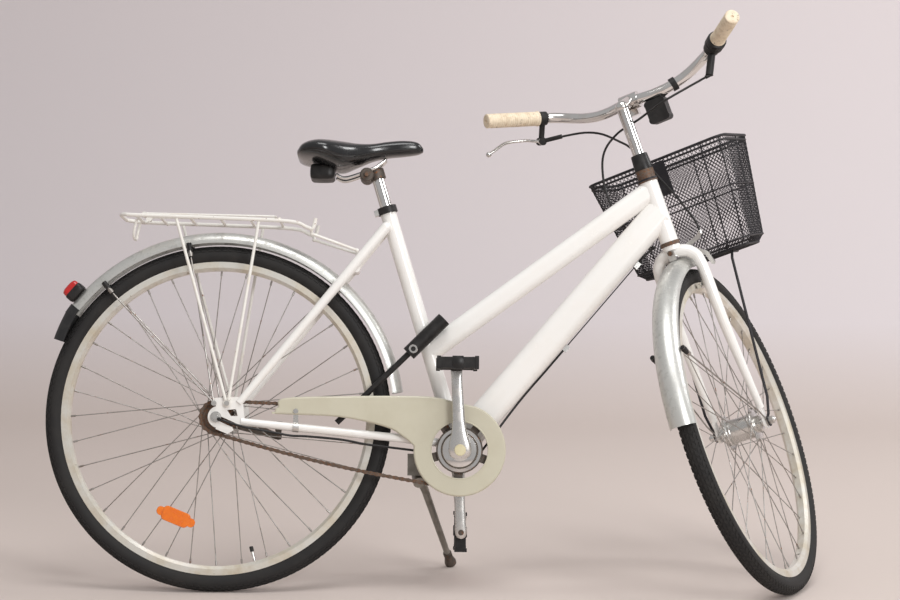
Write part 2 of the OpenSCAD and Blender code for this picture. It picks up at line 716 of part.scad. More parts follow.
// Gear cable: loop from the twist shifter to the head, then along the down tube to the hub
cable_r = 2.4;
inner_r = 1.2;
guide_half = 7;
function to_bike(p) = let (ahead = p[0] * cos(steer) - p[1] * sin(steer), side = p[0] * sin(steer)
    + p[1] * cos(steer))
    on_axis(p[2]) + ahead * head_ahead + [0, side, 0];
loop_route = [[906, -55, 1007], [878, -22, 990], [858, 4, 977], [838, 24, 966], [818, 36, 953], [797,
    45, 928],
    [788, 52, 901], [789, 55, 864], [796, 56, 831], [813, 54, 789], [840, 50, 749], [870, 46, 722],
        [886, 38, 713],
    [893, 25, 711], [884, 6, 704]];
low_route = [[540, -12, 294], [515, -25, 266], [488, -31, 260], [458, -32, 268], [430, -33, 279],
    [400, -34, 286],
    [350, -37, 292], [300, -41, 298], [250, -44, 307], [180, -50, 313], [150, -54, 314], [110, -61, 321],
    [60, -71, 330], [30, -76, 338], [16, -77, 343]];
cable_end = [7.6, -77, 345];
module gear_cable() color(black_plastic) standing() {
    rod(guide_high + guide_half * down_dir, guide_low - guide_half * down_dir, inner_r);
    sweep(smooth(concat([guide_low - guide_half * down_dir, guide_low - 60 * down_dir,
        guide_low - 150 * down_dir],
        low_route), 4), cable_r, 8, [0.3, 0.2, 1]);
    translate(cable_end) sphere(3.8);
    rod(cable_end, low_route[len(low_route) - 1], 1.6);
}
module gear_cable_loop() color(black_plastic) standing()
    sweep(smooth(concat([to_bike(shifter_exit + 0.05 * shifter_way)], loop_route,
        [guide_high + (guide_half + 16) * down_dir,
        guide_high + (guide_half + 0.05) * down_dir]), 4), cable_r, 8, [0.1, 1, 0.3]);

// Chain: side plates round both wheels, with pins on the straight runs
ring_r = pitch / (2 * sin(180 / ring_teeth));
sprocket_r = pitch / (2 * sin(180 / sprocket_teeth));
span = [bb_x, bb_z - axle_z];
span_len = norm(span);
wrap = asin((ring_r - sprocket_r) / span_len);
span_tilt = atan2(span[1], span[0]);
plate_half = 4.1;
plate_t = 1.1;
plate_gap = 4.8;
roller_r = 3.9;
function arc_points(at, r, from, to) = [for (i = [0 : 30]) let (a = from + (to - from) * i / 30)
    at + r * [cos(a), sin(a)]];
module band_outline(r) polygon(concat(
    arc_points([0, 0], sprocket_r + r, span_tilt + 90 + wrap, span_tilt + 270 - wrap),
    arc_points(span, ring_r + r, span_tilt - 90 - wrap, span_tilt + 90 + wrap)));
run_len = sqrt(span_len * span_len - (ring_r - sprocket_r) * (ring_r - sprocket_r));
run_pins = floor(run_len / pitch) - 1;
module chain() color(rusty) at_rear_axle() {
    for (s = [-1, 1]) translate([0, -chain_line + s * (plate_gap + plate_t) / 2 + plate_t / 2, 0])
        rotate([90, 0, 0])
        linear_extrude(plate_t) difference() {
            band_outline(plate_half);
            band_outline(-plate_half);
        }
    for (side = [-1, 1]) {
        a = span_tilt + side * (90 + wrap);
        from = sprocket_r * [cos(a), sin(a)];
        to = span + ring_r * [cos(a), sin(a)];
        for (i = [2 : run_pins - 2]) {
            p = from + (to - from) * (i / (run_pins + 1));
            translate([p[0], 0, p[1]]) across(roller_r, -chain_line - plate_gap / 2,
                -chain_line + plate_gap / 2);
        }
    }
}

// Toothed wheels
tooth_t = 2.2;
tooth_h = 3.2;
tooth_shape = [[-0.36, 0], [-0.14, 1], [0.14, 1], [0.36, 0]];
module teeth_outline(n, r) {
    root = r - roller_r - 0.2;
    polygon([for (i = [0 : n - 1]) for (t = tooth_shape)
        let (a = 360 * (i + t[0]) / n, q = root + t[1] * (tooth_h + roller_r)) q * [cos(a), sin(a)]]);
}
neck_r = 15;
module rear_sprocket() color(rusty) at_rear_axle() difference() {
    union() {
        translate([0, -chain_line + tooth_t / 2, 0]) rotate([90, 0, 0]) linear_extrude(tooth_t)
            teeth_outline(sprocket_teeth, sprocket_r);
        across(neck_r, -hub_half - 0.4, -chain_line - tooth_t);
    }
    across(cone_r + run_gap, -hub_half, -chain_line - 5);
}
ring_in = 62;
disc_r = 46;
arms = 5;
module chainring() color(dark_steel) at_bb() difference() {
    union() {
        translate([0, -chain_line + tooth_t / 2, 0]) rotate([90, 0, 0]) linear_extrude(tooth_t)
            difference() {
            teeth_outline(ring_teeth, ring_r);
            circle(ring_in);
        }
        for (i = [0 : arms - 1]) rotate([0, 360 * i / arms + 20, 0])
            translate([0, -chain_line - tooth_t / 2, -9]) cube([ring_in + 2, tooth_t - 0.4, 18]);
        across(disc_r, -chain_line + tooth_t / 2 + 0.5, -boss_in - 0.9);
    }
    across(spindle_r + press_gap, -chain_line + 3, -chain_line - 9);
}

// Cranks, spindle and pedals
crank_in = 70;
crank_t = 14;
crank_w = 24;
crank_tip_w = 27;
axle_pedal_r = 4.5;
pedal_in = crank_in + crank_t + 3;
spindle_end = crank_in + crank_t - 5;
boss_in = bb_w / 2 + 16;
taper_r = spindle_r - 2;
press_gap = 0.02;
function crank_tip(s) = -s * crank_len * [cos(crank_angle), 0, sin(crank_angle)];
module crank_spindle() color(alloy) at_bb() {
    across(spindle_r, -boss_in, boss_in);
    across(taper_r, -spindle_end, spindle_end);
}
module crank(s) {
    tip = crank_tip(s);
    side = [-tip[2], tip[0]] / crank_len;
    end = [tip[0], tip[2]];
    difference() {
        union() {
            across(18, s * (boss_in + 1.1), s * (crank_in + crank_t));
            translate([0, s > 0 ? crank_in + crank_t : -crank_in, 0]) rotate([90, 0, 0])
                linear_extrude(crank_t) {
                polygon([crank_w / 2 * side, -crank_w / 2 * side, end - crank_w * 0.4 * side,
                    end + crank_w * 0.4 * side]);
                translate(end) circle(crank_tip_w / 2);
            }
        }
        across(taper_r + press_gap, 0, s * (spindle_end + 0.1));
        translate(tip) across(axle_pedal_r + press_gap, s * (crank_in - 1), s * (crank_in + crank_t + 1));
    }
    // Pedal axle screwed into the crank
    translate(tip) {
        across(axle_pedal_r, s * crank_in, s * (pedal_in + pedal_wide - 12));
        across(7, s * (crank_in + crank_t + 0.05), s * (pedal_in - 0.4));
    }
    // Cap over the spindle's end
    across(12, s * (crank_in + crank_t + 0.05), s * (crank_in + crank_t + 4));
}
module right_crank() color(alloy) at_bb() crank(-1);
module left_crank() color(alloy) at_bb() crank(1);
pedal_wall = 9;
reflector = [56, 12, 4];
module pedal(s, along) {
    translate(crank_tip(s)) rotate([0, along, 0]) {
        difference() {
            translate([-pedal_long / 2, s > 0 ? pedal_in : -pedal_in - pedal_wide, -pedal_thick / 2])
                cube([pedal_long, pedal_wide, pedal_thick]);
            for (k = [-1, 1]) translate([k * (pedal_long / 4 - 1), s * (pedal_in + pedal_wide / 2), 0])
                cube([pedal_long / 2 - 16, pedal_wide - 2 * pedal_wall, pedal_thick + 2], center = true);
            across(axle_pedal_r + run_gap, s * (pedal_in - 1), s * (pedal_in + pedal_wide - 11));
        }
        for (k = [-1, 1]) color(amber) translate([k * (pedal_long / 2 + reflector[2] / 2),
            s * (pedal_in + pedal_wide / 2), 0]) cube([reflector[2], reflector[0], reflector[1]],
                center = true);
    }
}
module right_pedal() color(black_plastic) at_bb() pedal(-1, 0);
module left_pedal() color(black_plastic) at_bb() pedal(1, 90);

// Wheel parts, about an axle along y at the origin
module tyre() color(rubber) hoop() difference() {
    union() {
        difference() {
            translate([crest_r, 0]) circle(tyre_r);
            translate([0, -tyre_r]) square([rim_r + 0.02, tyre_w]);
        }
        for (s = [-1, 1]) translate([rim_r - 5, s * (rim_w / 2 - rim_wall - 1.3) - 1.2]) square([8, 2.4]);
    }
    translate([crest_r, 0]) circle(tyre_r - tyre_wall);
}
module rim() color(chrome) difference() {
    hoop() difference() {
        polygon(rim_profile(0));
        polygon(rim_profile(rim_wall));
    }
    rotate([0, -valve_angle, 0]) translate([rim_in_r - 5, 0, 0]) rotate([0, 90, 0]) cylinder(h = 12,
        r = valve_r + 0.1);
}
function rim_profile(t) = [[rim_r + (t > 0 ? 1 : 0), rim_w / 2 - t], [rim_in_r + 6, rim_w / 2 - t],
    [rim_in_r + t, 6.5 - t * 0.5], [rim_in_r + t, -6.5 + t * 0.5], [rim_in_r + 6, -rim_w / 2 + t],
    [rim_r + (t > 0 ? 1 : 0), -rim_w / 2 + t]];
nipple_r = 2;
nipple_len = 10;
flange_t = 3;
flange_edge = 3.5;
module spokes(flange_y, hole_r) color(alloy) for (s = [-1, 1]) for (i = [0 : side_spokes - 1]) {
    step = 360 / side_spokes;
    hub_a = i * step + (s > 0 ? step / 2 : 0);
    outer = i % 2 == 0 ? 1 : -1;
    rim_a = hub_a + outer * 3 * step;
    y0 = s * (flange_y + outer * (flange_t / 2 + spoke_d / 2 + 0.9));
    y1 = s * (3 + outer * 1.2);
    a = [hole_r * cos(hub_a), y0, hole_r * sin(hub_a)];
    b = [(rim_in_r - 0.3) * cos(rim_a), y1, (rim_in_r - 0.3) * sin(rim_a)];
    rod(a, b, spoke_d / 2);
    rod(b - nipple_len * unit(b - a), b - unit(b - a), nipple_r);
}
rear_flange_y = 29;
rear_hole_r = 31;
front_flange_y = 30;
front_hole_r = 33;
rear_shell_r = 20;
front_cap_r = 18;
front_hub_half = 44;
module hub(shell_r, cap_r, flange_y, hole_r, half, bore) color(alloy) difference() {
    union() {
        across(shell_r, -flange_y, flange_y);
        across(cap_r, -half, half);
        for (s = [-1, 1]) across(hole_r + flange_edge, s * flange_y - flange_t / 2,
            s * flange_y + flange_t / 2);
    }
    across(bore, -half - 1, half + 1);
}
module rear_tyre() at_rear_axle() tyre();
module rear_rim() at_rear_axle() rim();
module rear_spokes() at_rear_axle() spokes(rear_flange_y, rear_hole_r);
module rear_hub() at_rear_axle()
    hub(rear_shell_r, rear_shell_r, rear_flange_y, rear_hole_r, hub_half, axle_r + run_gap);
module front_tyre() at_front_axle() tyre();
module front_rim() at_front_axle() rim();
module front_spokes() at_front_axle() spokes(front_flange_y, front_hole_r);
module front_hub() at_front_axle()
    hub(front_hub_d / 2, front_cap_r, front_flange_y, front_hole_r, front_hub_half, axle_r + run_gap);

// Reflector between the spokes, and the valve with its cap
valve_angle = -75;
valve_r = 3;
reflector_angle = -112;
reflector_r = 216;
reflector_back = 14.5;
module spoke_reflector() at_rear_axle() {
    color(amber) rotate([0, -reflector_angle, 0]) translate([reflector_r, -reflector_back, 0])
        rotate([90, 0, 0])
        linear_extrude(5) {
            square([20, 70], center = true);
            for (e = [-1, 1]) translate([0, e * 35]) circle(10);
        }
    color(black_plastic) rotate([0, -valve_angle, 0]) translate([rim_in_r - 30, 0, 0]) rotate([0, 90, 0]) {
        cylinder(h = 14, r = 4);
        cylinder(h = 38, r = valve_r);
    }
}

// Seatpost and saddle
post_deep = 200;
post_top = seat_top + post_out * seat_up;
module seatpost() color(chrome) standing() rod(seat_top - post_deep * seat_up, post_top, post_d / 2);

// Saddle sections from tail to nose: place, half width, top and underside
saddle_tail = 153;
saddle_sections = [[0, 60, 893, 882], [12, 88, 908, 876], [37, 101, 916, 872], [62, 100, 917, 864],
    [92, 80, 916, 858], [122, 52, 914, 868], [152, 36, 915, 880], [182, 29, 920, 887], [217, 26, 923, 891],
    [245, 20, 920, 895], [257, 8, 908, 900]];
saddle_long = saddle_len / 257;
saddle_broad = saddle_wide / 205;
saddle_sides = 20;
function ring_point(k) = let (a = 360 * k / saddle_sides, c = cos(a), s = sin(a))
    [sign(c) * pow(abs(c), 0.7), sign(s) * pow(abs(s), 0.7)];
module skin(rings) polyhedron([for (r = rings) each r], faces_of(len(rings), len(rings[0])));
saddle_box = [[178, 229.5], [838, 862]];
module saddle() color(vinyl) standing() {
    skin([for (q = saddle_sections) [for (k = [0 : saddle_sides - 1]) let (p = ring_point(k))
        [saddle_tail + q[0] * saddle_long, q[1] * saddle_broad * p[0], (q[2] + q[3])
            / 2 + (q[2] - q[3]) / 2 * p[1]]]]);
    translate([saddle_box[0][0], -35, saddle_box[1][0]])
        cube([saddle_box[0][1] - saddle_box[0][0], 70, saddle_box[1][1] - saddle_box[1][0] + 8]);
}
rail_r = 3.5;
rail_route = [[232, 24, 848], [247, 23, 841.5], [268, 22, 846], [308, 20, 862], [322, 16, 872], [333,
    12, 882]];
clamp_at = post_top - 8 * seat_up - 20 * [sin(seat_angle), 0, cos(seat_angle)];
module saddle_rails() color(chrome) standing() difference() {
    union() {
        for (s = [-1, 1]) sweep(smooth([for (p = rail_route) flip(p, s)], 4), rail_r, 10);
        rod(clamp_at - [0, 28, 0], clamp_at + [0, 28, 0], 14);
        rod(clamp_at - [0, 34, 0], clamp_at + [0, 34, 0], 6);
        rod(post_top - 22 * seat_up, post_top - 0.5 * seat_up, post_d / 2 + 4);
    }
    rod(post_top - 60 * seat_up, post_top + 30 * seat_up, post_d / 2 + press_gap);
}
function flip(p, s) = [p[0], s * p[1], p[2]];

// Fork: steerer, crown, curved blades and dropouts, in the column's own frame
steerer_r = steerer_d / 2;
crown_s = head_low - 20;
steerer_top = head_high + 27;
blade_y = front_old / 2;
quill_low = head_high - 44;
blade_top_r = blade_top_d / 2;
blade_low_r = blade_low_d / 2;
blade = [[-2, 0, crown_s - 3, blade_top_r], [1, 20, crown_s - 5, blade_top_r],
    [5, blade_y - 14, crown_s - 15, blade_top_r - 0.5], [8, blade_y - 3, crown_s - 44, blade_top_r - 1],
    [16, blade_y - 2, crown_s - 172, blade_top_r - 2], [34, blade_y + 1, front_s + 92, blade_low_r + 1],
    [rake - 1, blade_y + 2.5, front_s + 30, blade_low_r]];
tip_t = 5;
pull_bolt_r = 3;
module fork() color(white_paint) steered() difference() {
    union() {
        translate([0, 0, crown_s - 12]) cylinder(h = steerer_top - crown_s + 12, r = steerer_r);
        translate([0, 0, crown_s - 13]) cylinder(h = 15, r = blade_top_r + 1.5);
        translate([0, 0, crown_s + 2]) cylinder(h = head_low - cup_h - 0.3 - crown_s - 2,
            r = head_tube_d / 2);
        for (s = [-1, 1]) {
            tapered(smooth([for (q = blade) [q[0], s * q[1], q[2], q[3]]], 3), 16, [1, 0, 0]);
            translate([0, s * (blade_y + tip_t / 2) + tip_t / 2, 0]) rotate([90, 0, 0])
                linear_extrude(tip_t) {
                translate([rake, front_s]) circle(15);
                polygon([[rake - 13, front_s + 5], [rake + 13, front_s + 5], [rake + 5, front_s + 36],
                    [rake - 8, front_s + 36]]);
            }
        }
    }
    translate([0, 0, crown_s - 20]) cylinder(h = steerer_top - crown_s + 40, r = steerer_r - 1.5);
    translate([0, 0, crown_s - 4]) rotate([0, 90, 0]) cylinder(h = 80, r = pull_bolt_r + 0.1,
        center = true);
    translate([rake, 0, front_s]) across(axle_r + 0.1, -blade_y - 9, blade_y + 9);
}

// Headset nuts over the steerer, their cover, and the brake's bolt through the crown
ring_low = head_high + 3.3;
ring_h = 3.7;
arm_t2 = 3.6;
arm_f = [31.5, 35.6];
bolt_back = -20;
bolt_ahead = arm_f[1] + arm_t2 + 0.3;
module fork_fasteners() color(rusty) steered() {
    difference() {
        union() {
            translate([0, 0, ring_low + ring_h + 0.05]) cylinder(h = 7, r = 18.5);
            translate([0, 0, ring_low + ring_h + 7.1])
                cylinder(h = steerer_top - ring_low - ring_h - 7.1, r = 19);
        }
        translate([0, 0, ring_low]) cylinder(h = 60, r = steerer_r + press_gap);
    }
    color(black_plastic) difference() {
        translate([0, 0, steerer_top + 0.05]) cylinder(h = 32, r1 = 19, r2 = 17);
        translate([0, 0, steerer_top - 1]) cylinder(h = 40, r = quill_r + 0.05);
    }
    translate([bolt_back, 0, crown_s - 4]) rotate([0, 90, 0])
        cylinder(h = bolt_ahead + 4.5 - bolt_back, r = pull_bolt_r);
    translate([bolt_back - 5, 0, crown_s - 4]) rotate([0, 90, 0]) cylinder(h = 5, r = 5.5, $fn = 6);
    translate([bolt_ahead, 0, crown_s - 4]) rotate([0, 90, 0]) cylinder(h = 4.5, r = 5.5, $fn = 6);
    translate([blade_top_r + 1.5, 0, crown_s - 4]) rotate([0, 90, 0])
        cylinder(h = arm_f[0] - blade_top_r - 1.8, r = 5);
}

// Stem and handlebar
quill_r = 12.5;
bar_r = bar_d / 2;
bar_clamp = [stem_reach, 0, bar_height];
grip_from = bar_clamp + [6, 207, 44];
grip_to = bar_clamp + [-89.6, 285.6, 66.8];
grip_dir = unit(grip_to - grip_from);
grip_len = norm(grip_to - grip_from);
grip_in = grip_from - 20 * grip_dir;
bar_bend = bend(bar_clamp + [0, 22, 0], bar_clamp + [21, 108, -9], bar_clamp + [58, 150, 29], grip_in, 12);
module stem() color(chrome) steered() difference() {
    union() {
        translate([0, 0, quill_low]) cylinder(h = steerer_top - quill_low, r = steerer_r - 1.6);
        translate([0, 0, steerer_top + 0.2]) cylinder(h = bar_height - 13 - steerer_top, r = quill_r);
        translate([0, 0, steerer_top - 5]) cylinder(h = 10, r = steerer_r - 1.6);
        translate([0, 0, bar_height - 13]) sphere(quill_r + 1.3);
        bar([0, 0, bar_height - 13], bar_clamp - [8, 0, 0], quill_r + 0.5, 13);
        translate(bar_clamp) across(18, -20, 20);
        translate(bar_clamp - [4, 0, 24]) cube([16, 26, 14], center = true);
    }
    translate(bar_clamp) across(bar_r + press_gap, -30, 30);
}
module handlebar() color(chrome) steered() {
    translate(bar_clamp) across(bar_r, -23, 23);
    for (s = [-1, 1]) {
        sweep([for (p = bar_bend) flip(p, s)], bar_r, 16, [1, 0, 0.2]);
        rod(flip(grip_in, s), flip(grip_to, s), bar_r);
    }
}
module along_grip(s, from, to, r, bore) difference() {
    rod(flip(grip_from + from * grip_dir, s), flip(grip_from + to * grip_dir, s), r);
    rod(flip(grip_from + (from - 30) * grip_dir, s), flip(grip_to + 0.3 * grip_dir, s), bore);
}
shifter_out = 28;
module hand_grips() color(cream) steered() {
    along_grip(1, 3, grip_len + 3, grip_d / 2, bar_r + press_gap);
    along_grip(-1, shifter_out + 1, grip_len + 3, grip_d / 2, bar_r + press_gap);
}
module twist_shifter() color(black_plastic) steered() along_grip(-1, 0.3, shifter_out, 20,
    bar_r + run_gap);

// Clamps of the brake lever on the left and of the shifter on the right
lever_pivot = bar_clamp + [19, 225, -2];
lever_axis = unit([0.589, 0.767, 0.254]);
lever_end = bar_clamp + [31, 180, -7];
lever_half = 5;
lever_blade = [for (q = [[0, 0, 0, 3.4], [-14, 11, 5, 3.4], [-31, 25, 11, 4.4], [-59, 55, 17, 4.6],
    [-85, 71, 9, 4.6], [-105, 80, 2, 4.6]]) [lever_pivot[0] + q[0], lever_pivot[1] + q[1],
        lever_pivot[2] + q[2], q[3]]];
lever_tip = lever_pivot + [-105, 80, 2];
lever_ball_way = unit([-20, 9, -7]);
lever_ball = [for (q = [[2, 5.5], [4, 6], [6.5, 6], [8.5, 5.4], [10, 4], [11, 2]])
    let (p = lever_tip + q[0] * lever_ball_way) [p[0], p[1], p[2], q[1]]];
shifter_end = bar_clamp + [-7, -181, -12];
shifter_way = [-5.7, 6.7, -1.9];
shifter_exit = shifter_end + shifter_way;
module control_clamps() color(black_plastic) steered() {
    along_grip(1, -15, 0, 15, bar_r + press_gap);
    difference() {
        union() {
            rod(lever_pivot - (lever_half + 4) * lever_axis, lever_pivot + (lever_half + 4)
                * lever_axis, 8.5);
            rod(lever_pivot, grip_from - 8 * grip_dir, 6.2);
            rod(lever_pivot, lever_end, 4.8);
        }
        rod(lever_pivot - (lever_half + 0.3) * lever_axis, lever_pivot + (lever_half + 0.3)
            * lever_axis, 9.2);
        rod(grip_from - 60 * grip_dir, grip_to, bar_r + press_gap);
    }
    rod(lever_pivot - (lever_half + 3) * lever_axis, lever_pivot + (lever_half + 3) * lever_axis, 2.5);
    along_grip(-1, -16, 0, 17, bar_r + press_gap);
    rod(shifter_end - 0.4 * shifter_way, shifter_exit, 4);
    difference() {
        rod(flip(grip_from - 8 * grip_dir, -1), shifter_end, 8);
        rod(flip(grip_from - 60 * grip_dir, -1), flip(grip_to, -1), bar_r + 2);
    }
}
module brake_lever() color(alloy) steered() difference() {
    union() {
        rod(lever_pivot - lever_half * lever_axis, lever_pivot + lever_half * lever_axis, 7);
        tapered(concat(smooth(lever_blade, 3), lever_ball), 10, lever_axis);
    }
    rod(lever_pivot - 20 * lever_axis, lever_pivot + 20 * lever_axis, 2.5 + run_gap);
}

// Front brake: cable, and two arms on one bolt
cable_bend = [[100, 130, 685], [90, 90, 666], [70, 51, 633], [50, 28, 611], [43, 4, 568], [40, -14, 526],
    [40, -34, 480], [40, -46, 445], [39, -52, 429], [38, -57, 411]];
barrel = [arm_f[1] + arm_t2 / 2, -58, crown_s + 20];
anchor = [arm_f[0], -64, crown_s - 46];
anchor_r = 3.5;
module brake_cable() color(black_plastic) steered() {
    sweep(smooth(concat([lever_end + [1, -0.5, -0.5]], cable_bend, [barrel + [0, 0.2, 4.4]]), 4),
        cable_r, 8,
        [1, 0.2, 0.1]);
    rod(barrel - [0, 0, 4.5], [barrel[0], anchor[1] + 0.4, anchor[2] + anchor_r + 0.2], 0.8);
}
pad_s = front_s + sqrt(pow(rim_r - 9, 2) - pow(rake - arm_f[1], 2));
module arm_outline(s) {
    circle(9);
    for (k = [0 : len(arm_route) - 2]) stroke(arm_route[k], arm_route[k + 1], s);
}
arm_route = [[0, 0], [24, -12], [33, -30], [34, -48], [28, pad_s - crown_s + 4]];
arm_half = 4.5;
module stroke(a, b, s) {
    v = b - a;
    translate([s * a[0], a[1]]) rotate(atan2(v[1], s * v[0])) {
        translate([0, -arm_half]) square([norm(v), 2 * arm_half]);
        circle(arm_half);
        translate([norm(v), 0]) circle(arm_half);
    }
}
module arm_sheet(f) translate([f + arm_t2, 0, crown_s - 4]) rotate([90, 0, -90]) mirror([1, 0, 0])
    linear_extrude(arm_t2) children();
module pad(s, f) {
    y = s * (rim_w / 2 + 2);
    translate([f - 6, s > 0 ? y : y - 9, pad_s - 5]) cube([46, 9, 10]);
    translate([f, 0, pad_s]) across(4, s * (rim_w / 2 + 8), s * 34);
}
module caliper_arm_left() color(alloy) steered() difference() {
    union() {
        arm_sheet(arm_f[0]) {
            arm_outline(1);
            stroke([0, 0], [36, -6], -1);
            stroke([36, -6], [58, -22], -1);
            stroke([58, -22], [64, -44], -1);
        }
        pad(1, arm_f[0]);
        translate(anchor) rotate([0, 90, 0]) cylinder(h = 9, r = anchor_r);
    }
    brake_bore();
}
module caliper_arm_right() color(alloy) steered() difference() {
    union() {
        arm_sheet(arm_f[1]) {
            arm_outline(-1);
            stroke([0, 0], [50, 16], -1);
            stroke([50, 16], [58, 23], -1);
        }
        translate(barrel - [0, 0, 4]) cylinder(h = 8, r = 4.6);
        pad(-1, arm_f[1]);
    }
    brake_bore();
    translate(barrel) cylinder(h = 60, r = 1.4, center = true);
}
module brake_bore() translate([0, 0, crown_s - 4]) rotate([0, 90, 0])
    translate([0, 0, 20]) cylinder(h = 60, r = pull_bolt_r + run_gap);

// Front mudguard and its stays
front_from = 84;
front_to = 171;
front_boot = 146;
front_c = guard_crest() - front_guard_w / 2;
module front_mudguard() color(alloy) {
    at_front_axle() arc_of(front_from, front_to) guard_section(front_guard_w, front_c, guard_wall);
    steered() difference() {
        translate([bolt_back + 1.4, -8, crown_s - 20]) cube([2, 16, 21.5]);
        translate([bolt_back, 0, crown_s - 4]) rotate([0, 90, 0]) cylinder(h = 20,
            r = pull_bolt_r + 0.1, center = true);
        translate([rake, 0, front_s]) across(guard_crest() - 0.3, -20, 20);
    }
}
front_eye_y = blade_y + tip_t + 0.3;
module front_mudguard_stays() color(dark_steel) at_front_axle() for (s = [-1, 1]) {
    eye = [0, s * (front_eye_y + eye_t / 2), 0];
    a = front_boot;
    boot_and_wire(a, s, front_guard_w, front_c, eye + 9 * [cos(a), 0, sin(a)]);
    tube_across(10, axle_r + run_gap, s * front_eye_y, s * (front_eye_y + eye_t));
}

// Front axle with its cones, washers and domed nuts
strut_y = front_eye_y + eye_t + 0.3;
module front_axle() color(alloy) at_front_axle() {
    across(axle_r, -blade_y - 20, blade_y + 20);
    for (s = [-1, 1]) {
        tube_across(8, axle_r, s * (front_hub_half + 0.3), s * (blade_y - 0.1));
        translate([0, s * (strut_y + 2.3), 0]) rotate([-90 * s, 0, 0]) cylinder(h = 8, r = 9, $fn = 6);
        translate([0, s * (strut_y + 10), 0]) sphere(6.5);
    }
}

// Basket on its bracket and struts
basket_back = 83;
basket_top = head_high + 47;
basket_low = basket_top - basket_tall;
floor_wide = basket_wide - 58;
floor_deep = basket_deep - 50;
floor_drop = 15;
basket_corner = 24;
module basket_outline(w, d, t) translate([basket_back + basket_deep / 2 - 3, 0])
    for (i = [-1, 1]) for (j = [-1, 1])
        translate([i * (d / 2 - basket_corner), j * (w / 2 - basket_corner), 0])
            cylinder(h = 1, r = basket_corner - t, $fn = 32);
module basket_solid(t) hull() {
    translate([0, 0, basket_top - 1 + (t > 0 ? 2 : 0)]) basket_outline(basket_wide, basket_deep, t);
    translate([0, 0, basket_low]) basket_outline(floor_wide, floor_deep, t);
    translate([0, 0, basket_low - floor_drop + t]) basket_outline(floor_wide - 24, floor_deep - 24, t);
}
module basket() color(black_plastic) steered() difference() {
    basket_solid(0);
    basket_solid(basket_wall);
}
bracket_y = 6;
module basket_struts() color(black_plastic) steered() {
    difference() {
        union() {
            translate([0, 0, ring_low]) cylinder(h = ring_h, r = 21);
            translate([14, -bracket_y, ring_low]) cube([basket_back - 16, 2 * bracket_y, ring_h]);
            translate([basket_back - 5, -22, ring_low - 40]) cube([2.5, 44, 78]);
        }
        translate([0, 0, ring_low - 1]) cylinder(h = ring_h + 2, r = steerer_r + 0.1);
        translate([14, 0, ring_low]) rotate([0, 7, 0]) translate([basket_back - 15.2, -40, -80])
            cube([20, 80, 160]);
    }
    for (s = [-1, 1]) {
        top = [basket_back + 48, s * 80, basket_low - floor_drop - 3.3];
        sweep([top + [70, -s * 6, 0], top + [6, 0, 0], top + [-6, -s * 1, -14],
            [rake + 10, s * (strut_y + 11), front_s + 48], [rake + 3, s * (strut_y + 3.5), front_s + 14],
            [rake + 2, s * (strut_y + 1.2), front_s + 11]], 3, 8, [0, 1, 0.2]);
        translate([rake, 0, front_s]) tube_across(12, axle_r + run_gap, s * strut_y, s * (strut_y + 2));
    }
}

// Front lamp strapped under the handlebar
lamp_step = 4;
lamp_c = bar_clamp + [9, -50, -38];
module front_lamp() color(black_plastic) steered() {
    at = flip(bar_bend[lamp_step], -1);
    way = unit(flip(bar_bend[lamp_step + 1] - bar_bend[lamp_step - 1], -1));
    difference() {
        union() {
            rod(at - 6 * way, at + 6 * way, 14.5);
            rod(at, lamp_c + [0, 0, 20], 6);
        }
        sweep([for (p = bar_bend) flip(p, -1)], bar_r + 0.4, 16, [1, 0, 0.2]);
    }
    translate(lamp_c - [16, 0, 0]) rotate([0, 90, 0]) linear_extrude(28) union() {
        square([38, 44], center = true);
        square([50, 30], center = true);
        for (i = [-1, 1]) for (j = [-1, 1]) translate([i * 17, j * 15]) circle(8);
    }
    translate(lamp_c + [12.2, 0, 0]) rotate([0, 90, 0]) cylinder(h = 5, r = 18);
}

head_tube();
top_tube();
down_tube();
seat_tube();
seat_stays();
chain_stays();
rear_dropouts();
bearing_cups();
rear_axle();
coaster_brake_arm();
frame_fasteners();
chain_guard();
kickstand_bracket();
rear_mudguard();
rear_mudguard_stays();
mudflap();
rear_lamp();
rack();
gear_cable();
gear_cable_loop();
bar_lock();
chain();
rear_tyre();
rear_rim();
rear_spokes();
rear_hub();
spoke_reflector();
rear_sprocket();
crank_spindle();
chainring();
right_crank();
left_crank();
right_pedal();
left_pedal();
kickstand_leg();
seatpost();
saddle();
saddle_rails();
rack_spring_clip();
fork();
fork_fasteners();
stem();
handlebar();
hand_grips();
control_clamps();
front_mudguard();
front_mudguard_stays();
front_axle();
basket();
basket_struts();
front_lamp();
brake_cable();
brake_lever();
caliper_arm_left();
caliper_arm_right();
twist_shifter();
front_tyre();
front_rim();
front_spokes();
front_hub();
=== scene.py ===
# %% [markdown]
# # A city bicycle leaning on its side stand
# The solid model already holds every real size, joint and position.
# This notebook loads it as a fixed frame and dresses it: each tube gets its paint, and the parts
# whose beauty lies in small shapes (tyres, chain, saddle, basket) are built again in fine detail.
# %% Load the solid model
import json
import math
import bmesh
import bpy
from mathutils import Matrix, Vector
from mathutils.geometry import tessellate_polygon


